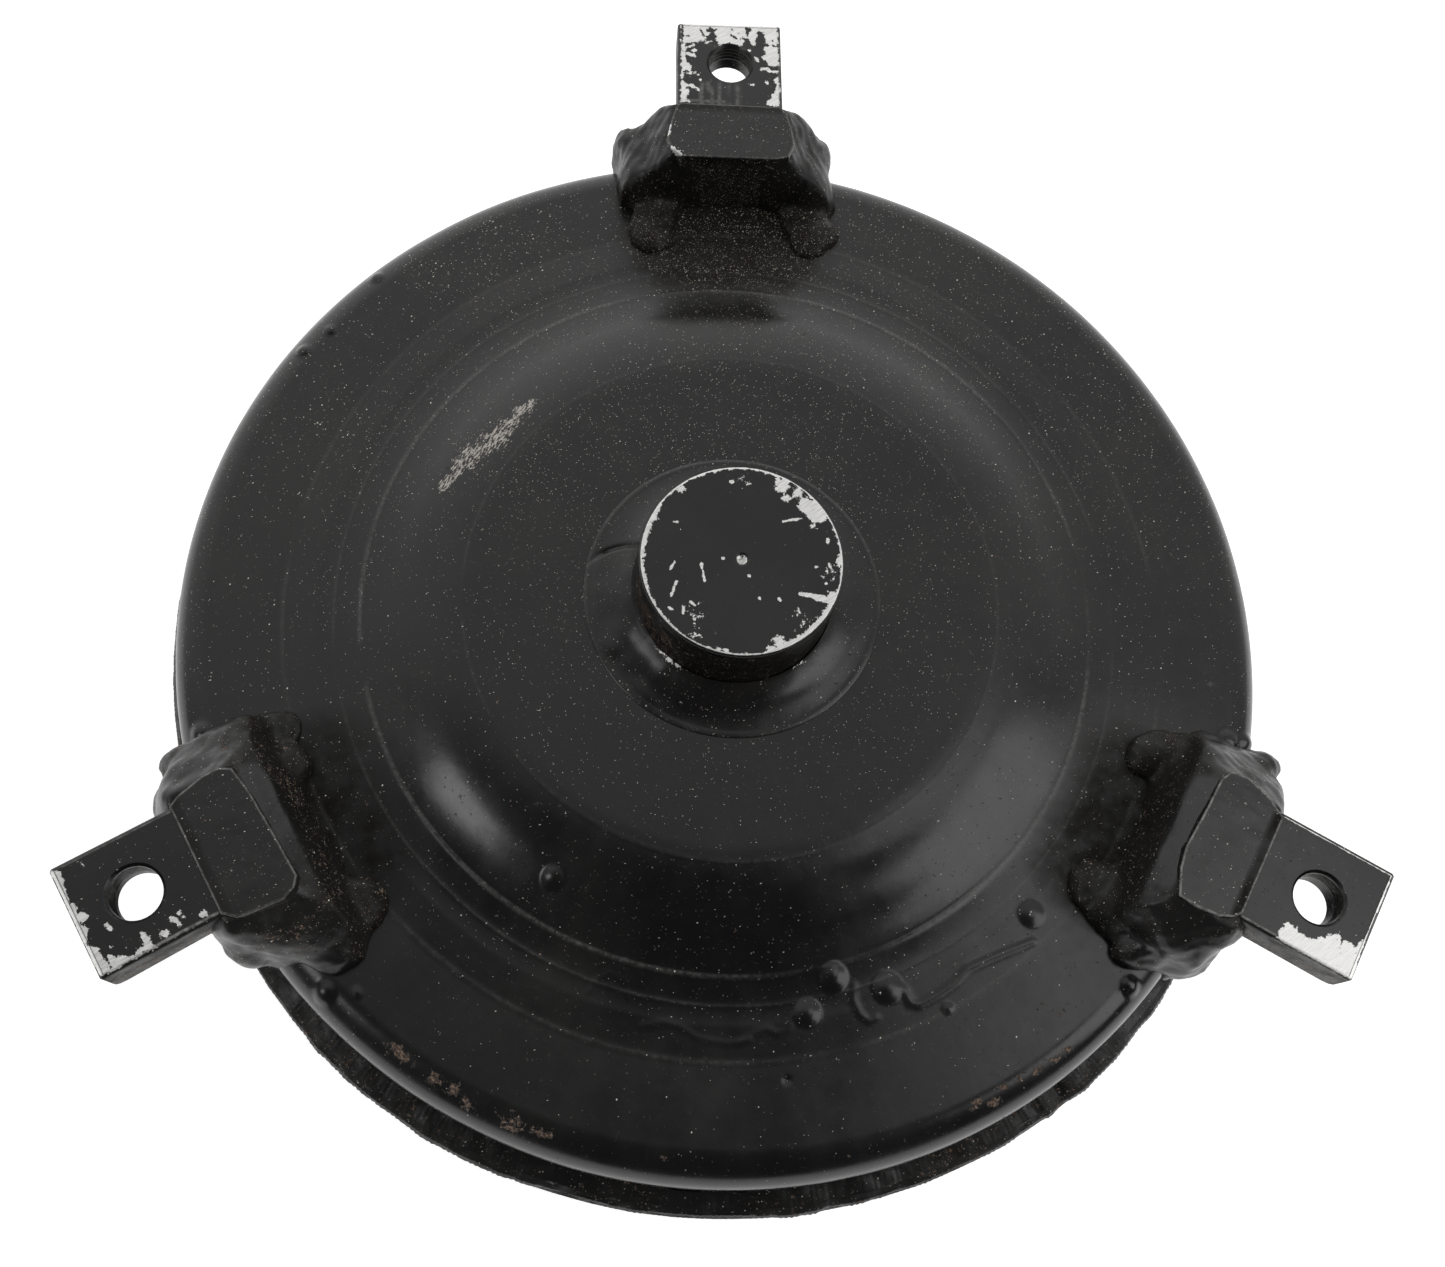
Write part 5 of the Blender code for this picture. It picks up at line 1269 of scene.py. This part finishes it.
# ---- lug welds -----------------------------------------------------------------------------------
WELD_PLANS = {                       # outline of the weld metal seen from above, out and side
    1: ((106.8, 14.0), (105.9, 21.0), (106.2, 26.4), (112.0, 27.4), (121.2, 27.2), (124.0, 24.8),
        (127.2, 19.2), (129.0, 13.5), (129.2, 11.0), (120.0, 0.0), (129.6, -11.0), (129.4, -14.0),
        (127.2, -19.0), (124.0, -23.0), (121.2, -25.0), (112.0, -25.6), (106.4, -25.6),
        (105.8, -20.0), (106.6, -14.0), (107.4, -9.0), (108.6, 0.0), (107.4, 9.0)),
    2: ((97.8, 15.0), (97.5, 20.6), (103.0, 25.4), (108.8, 29.2), (115.6, 25.4), (119.8, 22.8),
        (123.8, 19.0), (128.2, 14.4), (130.4, 9.6), (120.0, 0.0), (130.6, -9.0), (130.4, -13.4),
        (128.0, -17.4), (123.6, -21.4), (121.4, -25.6), (115.0, -27.8), (106.8, -28.4),
        (97.5, -22.5), (98.2, -12.0), (101.6, 0.0)),
    3: ((99.0, 12.0), (97.5, 20.4), (103.5, 24.6), (109.0, 29.4), (116.6, 29.4), (119.8, 29.0),
        (122.0, 26.0), (123.8, 21.0), (126.9, 14.2), (129.0, 10.0), (120.0, 0.0), (129.6, -9.0),
        (128.4, -12.2), (125.4, -18.2), (123.2, -22.6), (116.6, -24.2), (107.6, -21.6),
        (101.5, -21.0), (99.5, -12.0), (102.4, 0.0))}
WELD_BLOBS = {                       # out, side, height, and half sizes in those directions
    1: ((99.2, 17.6, 8.2, 6.2, 5.9, 3.5), (100.2, -21.6, 8.0, 6.8, 6.6, 3.5),
        (103.8, 17.0, 8.4, 3.2, 4.2, 2.6), (110.0, -23.5, 9.5, 4.0, 4.4, 4.6),
        (122.6, 25.6, 10.5, 4.2, 2.8, 5.4), (122.2, -23.8, 10.0, 4.4, 3.0, 5.0),
        (104.0, -19.0, 8.2, 3.0, 3.8, 2.2)),
    2: ((99.8, 19.8, 8.6, 4.8, 5.8, 4.0), (100.6, -13.6, 9.0, 4.4, 4.6, 4.0),
        (125.6, -16.6, 11.0, 3.4, 4.2, 5.6), (120.8, -24.8, 8.5, 4.0, 3.0, 5.2),
        (124.4, 15.8, 7.0, 3.6, 4.2, 6.0), (109.0, 27.0, 8.8, 5.0, 4.2, 3.6),
        (102.0, -22.0, 8.4, 6.4, 4.6, 1.9)),
    3: ((98.6, 18.2, 8.4, 6.2, 6.0, 3.8), (100.0, -14.8, 8.4, 6.4, 6.0, 3.8),
        (120.6, 28.4, 8.5, 3.8, 3.2, 5.0), (123.6, 18.6, 12.5, 3.0, 4.4, 5.2),
        (122.2, -18.0, 6.5, 4.6, 4.8, 6.2), (108.0, 26.6, 8.8, 4.2, 3.4, 3.4),
        (112.0, -24.0, 8.8, 5.0, 3.6, 4.2), (105.0, 20.0, 9.5, 5.0, 5.0, 4.5),
        (105.5, -18.0, 9.0, 5.0, 4.5, 4.5))}
SMOOTH_SLOPE = {2: 3.4, 3: 3.4}      # width of the even slope below a block's inner top edge


def weld_field(number, out, side, height):
    """Below zero inside the weld metal of a lug."""
    local = np.stack([out.ravel(), side.ravel(), height.ravel()], 1) + 60.0 * number
    lumps = fractal_noise(local, 8.0, 81, 2).reshape(out.shape)
    small = fractal_noise(local, 2.3, 85, 2).reshape(out.shape)
    flank = (np.abs(side) - 14.6) * 0.86
    before = 108.4 - out
    inner = before * 2.3 + 1.8
    if number in SMOOTH_SLOPE:
        steeper = 1.7 * np.maximum(before - SMOOTH_SLOPE[number], 0.0)
        inner = np.maximum(before, -2.0) + 1.0 + steeper
    outer = np.where(np.abs(side) > 11.0, (out - 124.2) * 1.35, (out - 118.0) * 3.0)
    fall = smooth_max(smooth_max(flank, inner, 2.0), outer, 2.0)
    crown = LUG_TOP - 1.0 - np.maximum(fall, 0.0)
    plan = outline_distance(out, side, WELD_PLANS[number])
    bulge = 0.055 * np.clip(height - 8.0, 0.0, 14.0)
    weld = smooth_max((height - crown) * 0.76, plan + bulge, 3.4)
    for place, across, level, half_out, half_side, half_height in WELD_BLOBS[number]:
        share = np.sqrt(((out - place) / half_out) ** 2 + ((side - across) / half_side) ** 2
                        + ((height - level) / half_height) ** 2)
        blob = (share - 1.0) * min(half_out, half_side, half_height)
        weld = smooth_min(weld, blob, 3.0)
    ripple = np.sin((np.abs(side) * 0.9 + out * 0.55 + 1.4 * lumps) * 2.0 * math.pi / 2.3)
    calm = np.ones_like(out)
    if number in SMOOTH_SLOPE:
        on_slope = smooth_step(before, -3.0, 0.0)
        on_slope *= smooth_step(before, SMOOTH_SLOPE[number] + 1.5, 2.0)
        calm -= 0.8 * on_slope * smooth_step(np.abs(side), 15.0, 12.0)
    weld = weld + calm * (0.70 * lumps + 0.16 * small + 0.05 * ripple)
    radius = np.hypot(out, side)
    cover = cover_height(np.minimum(radius, RIM_RADIUS))
    return np.maximum(weld, cover - 1.6 - 0.6 * np.maximum(radius - RIM_RADIUS, 0.0) - height)


def make_lug_weld(number, azimuth, materials):
    lowest = np.array([90.0, -34.0, -5.0])
    highest = np.array([134.0, 34.0, 28.0])
    axes = [np.arange(low, high, WELD_GRID) for low, high in zip(lowest, highest)]
    out, side, height = np.meshgrid(*axes, indexing="ij")
    local, quads = surface_net(weld_field(number, out, side, height), lowest, WELD_GRID)
    name = f"lug_weld_{number}_bead"
    mesh = raw_mesh(name, turned_out(local, azimuth), quads)
    x, y, height = places(mesh).T
    out, side = turned_axes(x, y, azimuth)
    points = np.stack([out, side, height], 1)
    worn = fractal_noise(points + 60.0 * number, 5.0, 91, 3)
    inner = smooth_step(out, 109.0, 104.0)
    dust = 0.25 + 0.65 * inner * (1.0 if number == 1 else 0.35) + 0.2 * worn
    # grime, with painted shade added on the inner side that faces the axis
    grime = 0.35 + 0.55 * inner + 0.3 * worn
    cover = cover_height(np.minimum(np.hypot(out, side), RIM_RADIUS))
    low = smooth_step(np.abs(height - cover), 0.8, 0.2)
    chip = 0.40 * low * smooth_step(worn, 0.25, 0.6)
    rust = (0.33 if number == 2 else 0.20) * smooth_step(worn, 0.1, 0.7)
    if number in SMOOTH_SLOPE:
        even = smooth_step(out, 104.2, 105.4) * smooth_step(out, 110.0, 109.0)
        even *= smooth_step(np.abs(side), 14.5, 12.5)
        grime = grime * (1.0 - 0.9 * even)
        dust = dust * (1.0 - 0.5 * even)
        rust = rust * (1.0 - even)
    add_piece(name, mesh, materials["weld_paint"], "weld_paint", f"lug_weld_{number}",
              smooth_angle=60.0, dust=dust, grime=grime, chip=chip, rust=rust)


# ---- closure weld and impeller shell -------------------------------------------------------------
def make_closure_weld(materials):
    """A rippled bead round the joint, with heavy lumps where it was started and stopped."""
    inner = RIM_RADIUS - 0.2
    base = LIP_TOP + 0.05
    fillet = 0.4
    corners = [(inner, base), (LIP_RADIUS + 0.5, base, fillet),
               (LIP_RADIUS + 0.7, base + 0.8, fillet), (LIP_RADIUS + 0.1, base + 1.9, fillet),
               (LIP_RADIUS - 1.4, base + 2.9, fillet),
               (inner + 1.4, base + 3.5, fillet), (inner, base + 3.9)]
    line = spread(rounded(corners), 0.55)

    def relief(points, normals):
        azimuth = azimuth_of(points) % 360.0
        lumps = 0.50 * fractal_noise(points, 14.0, 101, 2)
        lumps += 0.16 * fractal_noise(points, 3.0, 104, 2)
        ripple = 0.10 * np.sin(np.radians(azimuth) * 640.0 + 0.8 * points[:, 2] + 2.0 * lumps)
        heavy = (0.5 * smooth_step(np.abs(azimuth - 312.0), 11.0, 4.0)
                 + 0.6 * smooth_step(np.abs(azimuth - 246.0), 9.0, 3.0)
                 + 0.5 * smooth_step(np.abs(azimuth - 20.0), 6.0, 2.0)) - 0.25
        start = 0.5 * np.exp(-((azimuth - 302.5) / 0.7) ** 2)
        start -= 0.5 * np.exp(-((azimuth - 304.2) / 0.6) ** 2)
        free = smooth_step(points[:, 2], base - 0.1, base + 0.7)
        return (lumps + ripple + heavy + start) * free

    mesh = turned_mesh("closure_weld_bead", line, 1440, relief)
    points = places(mesh)
    azimuth = azimuth_of(points) % 360.0
    width = LIP_RADIUS + 0.7 - inner
    share = np.clip((radius_of(points) - inner) / width, 0.0, 1.0)
    narrow = 1.9 * smooth_step(points[:, 1], -110.0, -60.0)
    narrow += 0.8 * smooth_step(np.abs(azimuth - 168.0), 50.0, 25.0)
    move_out(mesh, -narrow * share)
    patchy = fractal_noise(points, 12.0, 111, 3)
    add_piece("closure_weld_bead", mesh, materials["weld_paint"], "weld_paint", "closure_weld",
              smooth_angle=60.0, dust=0.30 + 0.2 * patchy, grime=0.55 + 0.3 * patchy,
              rust=0.16 + 0.2 * patchy)


def make_impeller_shell(materials):
    centre = (TORUS_RADIUS, IMPELLER_CENTRE)
    outside = np.add(IMPELLER_INSIDE, SHELL_THICKNESS)
    lower_face = HUB_FACE - SHELL_THICKNESS
    lip_inner = RIM_RADIUS + 0.3
    shoulder = SKIRT_BOTTOM - 0.3
    hole = HUB_RADIUS + 0.3
    outer_top = [(lip_inner, LIP_TOP), (LIP_RADIUS, LIP_TOP, 0.8), (LIP_RADIUS, shoulder, 1.5),
                 (LIP_RADIUS - 1.2, shoulder - 3.0, 3.0)]
    bowl = arc(centre, outside, -8.0, -140.0, 90)
    neck = [(HUB_RADIUS + 26.0, lower_face + 2.4, 6.0), (HUB_RADIUS + 20.0, lower_face, 6.0),
            (hole, lower_face)]
    inner = [(hole, HUB_FACE), (47.0, HUB_FACE), (52.0, HUB_FACE + 0.8)]
    inside = arc(centre, IMPELLER_INSIDE, -145.0, 0.0, 40)
    end = [(TORUS_RADIUS + IMPELLER_INSIDE[0], shoulder), (lip_inner, shoulder)]
    line = spread(rounded([*outer_top, *bowl, *neck, *inner, *inside, *end]), 1.6)

    def relief(points, normals):
        radius = radius_of(points)
        outside_face = (normals[:, 2] < 0.2) | (radius > 124.0)
        azimuth = np.arctan2(points[:, 1], points[:, 0])
        lip = 0.30 * fractal_noise(points, 16.0, 121, 2) * smooth_step(radius, 125.5, 127.5)
        spun = 0.06 * fractal_noise(points, 24.0, 124, 2)
        band = smooth_step(radius, 62.0, 66.0) * smooth_step(radius, 112.0, 106.0)
        along = np.cos(azimuth * 31.0 + (radius - 86.0) * 0.06)
        crimps = -0.35 * band * smooth_step(along, 0.93, 0.995)
        crimps *= smooth_step(np.abs(np.abs(radius - 86.0) - 13.0), 5.0, 3.4)
        return np.where(outside_face & (points[:, 2] < LIP_TOP + 0.3), lip + spun + crimps, 0.0)

    mesh = turned_mesh("impeller_shell_bowl", line, 1116, relief)
    points = places(mesh)
    radius = radius_of(points)
    share = np.clip((radius - lip_inner) / (LIP_RADIUS - lip_inner), 0.0, 1.0)
    move_out(mesh, -(0.9 + 2.2 * smooth_step(points[:, 1], -110.0, -60.0)) * share)
    patchy = fractal_noise(points, 22.0, 131, 3)
    rust = 0.30 * smooth_step(radius, 46.0, 33.0) + 0.25 * smooth_step(patchy, 0.5, 0.9)
    rust *= smooth_step(radius, 124.0, 118.0)
    grime = 0.22 + 0.3 * patchy + 0.5 * smooth_step(radius, 44.0, 30.0)
    add_piece("impeller_shell_bowl", mesh, materials["black_paint"], "black_paint",
              "impeller_shell", dust=0.16 + 0.10 * patchy, grime=grime, rust=rust)


def make_hub(materials):
    """Pump drive hub: ground outside, bored, with two slots for the pump gear's tangs."""
    top = -41.8
    flange_bottom = top - 6.0
    corners = [(HUB_BORE_RADIUS, top, 0.5), (45.0, top, 0.4), (45.0, flange_bottom, 0.4),
               (HUB_RADIUS, flange_bottom), (HUB_RADIUS, flange_bottom - 8.6),
               (HUB_RADIUS - 0.25, flange_bottom - 9.0), (HUB_RADIUS - 0.25, HUB_END + 1.2, 0.2),
               (HUB_RADIUS - 0.9, HUB_END, 0.25), (HUB_BORE_RADIUS + 0.6, HUB_END, 0.2),
               (HUB_BORE_RADIUS, HUB_END + 0.6, 0.2)]
    line = spread(rounded(corners), 2.5)
    mesh = turned_mesh("pump_drive_hub", line, 256)
    piece = add_piece("pump_drive_hub", mesh, materials["machined_steel"], "machined_steel",
                      "impeller_hub")
    half = DRIVE_SLOT_HALF_WIDTH
    reach = HUB_RADIUS + 5.0
    end = HUB_END + RIM_LEVEL
    outline = [(-reach, -half), (reach, -half), (reach, half), (-reach, half)]
    slot = prism(outline, end + DRIVE_SLOT_DEPTH, end - 4.0)
    slot.data.transform(Matrix.Scale(MM, 4))
    shaped = bpy.data.meshes.new_from_object(apply_boolean(piece, [(slot, "DIFFERENCE")]))
    work = bmesh.new()
    work.from_mesh(shaped)
    near = [edge for edge in work.edges if edge.is_manifold and edge.calc_face_angle(0.0) > 0.7
            and min(vert.co.z for vert in edge.verts) / MM < end + DRIVE_SLOT_DEPTH + 1.0
            and max(abs(vert.co.y) for vert in edge.verts) / MM < half + 0.2]
    bmesh.ops.bevel(work, geom=near, offset=0.3 * MM, segments=2, profile=0.5, affect="EDGES",
                    clamp_overlap=True)
    work.to_mesh(shaped)
    work.free()
    piece.modifiers.clear()
    piece.data = shaped
    shaped.shade_smooth()
    shaped.set_sharp_from_angle(angle=math.radians(35.0))
    bpy.data.objects.remove(slot, do_unlink=True)


def make_hub_weld(materials):
    inner = HUB_RADIUS + 0.1
    base = HUB_FACE - SHELL_THICKNESS - 0.1
    corners = [(inner, base), (inner + 7.2, base, 0.3), (inner + 6.4, base - 1.5, 1.2),
               (inner + 3.4, base - 3.6, 1.8), (inner + 0.6, base - 6.3, 0.4), (inner, base - 6.6)]
    line = spread(rounded(corners), 0.5)

    def relief(points, normals):
        azimuth = np.arctan2(points[:, 1], points[:, 0])
        lumps = 0.30 * fractal_noise(points, 8.0, 141, 2)
        ripple = 0.16 * np.sin(azimuth * 74.0 + 0.35 * radius_of(points) ** 1.2 + lumps)
        free = smooth_step(points[:, 2], base, base - 0.8)
        return (lumps + ripple) * free

    mesh = turned_mesh("hub_weld_bead", line, 720, relief)
    points = places(mesh)
    patchy = fractal_noise(points, 9.0, 151, 3)
    add_piece("hub_weld_bead", mesh, materials["weld_paint"], "weld_paint", "hub_weld",
              smooth_angle=60.0, dust=0.2 + 0.1 * patchy, grime=0.5 + 0.3 * patchy,
              rust=0.38 + 0.3 * patchy)


def finish_inner_pieces(materials):
    """The sealed pieces keep their CAD shape and get their own metal."""
    slots = {entry["node"]: entry["material_slot"] for entry in frame["record"]["subparts"]}
    for name, node in frame["nodes"].items():
        if node.hide_render:
            continue
        slot = slots[name]
        node.data.materials.clear()
        node.data.materials.append(materials[slot])
        node.data.shade_smooth()
        node.data.set_sharp_from_angle(angle=math.radians(32.0))


# ---- stage ---------------------------------------------------------------------------------------
def make_floor():
    shader = Shader("pale_floor")
    tone = shader.noise(600.0, 2.0)
    shader.set(Base_Color=shader.mix(tone, (0.86, 0.86, 0.86), (0.90, 0.90, 0.895)),
               Roughness=shader.ramp(tone, 0.3, 0.7, 0.55, 0.65),
               Emission_Color=(1.0, 1.0, 1.0), Emission_Strength=0.70)
    work = bmesh.new()
    half = 8.0
    level = cad_low.z - 0.0002
    for x, y in ((-half, -half), (half, -half), (half, half), (-half, half)):
        work.verts.new((x, y, level))
    work.faces.new(work.verts[:])
    mesh = bpy.data.meshes.new("studio_floor")
    work.to_mesh(mesh)
    work.free()
    mesh.materials.append(shader.material)
    floor = bpy.data.objects.new("studio_floor", mesh)
    bpy.context.scene.collection.objects.link(floor)


def make_world():
    """A soft room: bright overhead and behind, some light from the left, dim on the near side.

    The camera itself sees plain white.
    """
    world = bpy.data.worlds.new("studio")
    bpy.context.scene.world = world
    world.use_nodes = True
    sky = Nodes(world.node_tree)
    output = sky.add("OutputWorld")
    split = sky.add("SeparateXYZ", Vector=sky.add("TexCoord").outputs["Generated"])
    away = split.outputs["Y"]
    left = sky.plus(sky.times(away, 0.5), sky.times(split.outputs["X"], -1.0))
    strength = sky.plus(sky.ramp(away, -0.08, 0.32, 0.055, 0.66),
                        sky.ramp(away, 0.42, 0.85, 0.0, 0.45))
    strength = sky.plus(strength, sky.ramp(left, 0.10, 0.75, 0.0, 0.16))
    room = sky.add("Background", Color=(1.0, 1.0, 1.0), Strength=strength)
    seen = sky.add("Background", Color=(1.0, 1.0, 1.0), Strength=1.0)
    mix = sky.add("MixShader", Fac=sky.add("LightPath").outputs["Is Camera Ray"])
    sky.feed(mix.inputs[1], room.outputs["Background"])
    sky.feed(mix.inputs[2], seen.outputs["Background"])
    sky.feed(output.inputs["Surface"], mix.outputs["Shader"])


def make_light(name, direction, distance, size, power):
    """A softbox that faces the object from a direction."""
    light = bpy.data.lights.new(name, "AREA")
    light.shape = "RECTANGLE"
    light.size, light.size_y = size
    light.energy = power
    item = bpy.data.objects.new(name, light)
    way = Vector(direction).normalized()
    item.location = way * distance
    item.rotation_mode = "QUATERNION"
    item.rotation_quaternion = (-way).to_track_quat("-Z", "Y")
    bpy.context.scene.collection.objects.link(item)


def make_lights():
    make_light("right_softbox", (0.76, -0.24, 0.60), 1.2, (0.70, 0.80), 3.9)
    make_light("right_top_panel", (0.42, 0.02, 0.90), 1.4, (0.45, 0.45), 0.9)
    make_light("left_softbox", (-0.72, -0.28, 0.64), 1.2, (0.32, 0.44), 1.7)


def make_camera():
    camera = bpy.data.cameras.new("camera")
    camera.sensor_width = 36.0
    camera.lens = 36.5
    camera.shift_x = 0.0173
    camera.shift_y = -0.0034
    camera.clip_start = 0.01
    item = bpy.data.objects.new("camera", camera)
    right = Vector((0.99731, -0.00480, 0.07317))
    up = Vector((-0.02052, 0.93969, 0.34142))
    back = right.cross(up)
    item.matrix_world = Matrix.Translation((-0.03047, -0.11799, 0.28050)) @ Matrix(
        (right, up, back)).transposed().to_4x4()
    bpy.context.scene.collection.objects.link(item)
    bpy.context.scene.camera = item


# ---- assembly ------------------------------------------------------------------------------------
materials = make_materials()
make_front_cover(materials)
make_pilot(materials)
make_pilot_weld(materials)
for lug_number, lug_azimuth in enumerate(LUG_AZIMUTHS, start=1):
    make_lug(lug_number, lug_azimuth, materials)
    make_lug_weld(lug_number, lug_azimuth, materials)
make_closure_weld(materials)
make_impeller_shell(materials)
make_hub(materials)
make_hub_weld(materials)
finish_inner_pieces(materials)
make_floor()
make_world()
make_lights()
make_camera()
bpy.context.scene.view_settings.view_transform = "Standard"
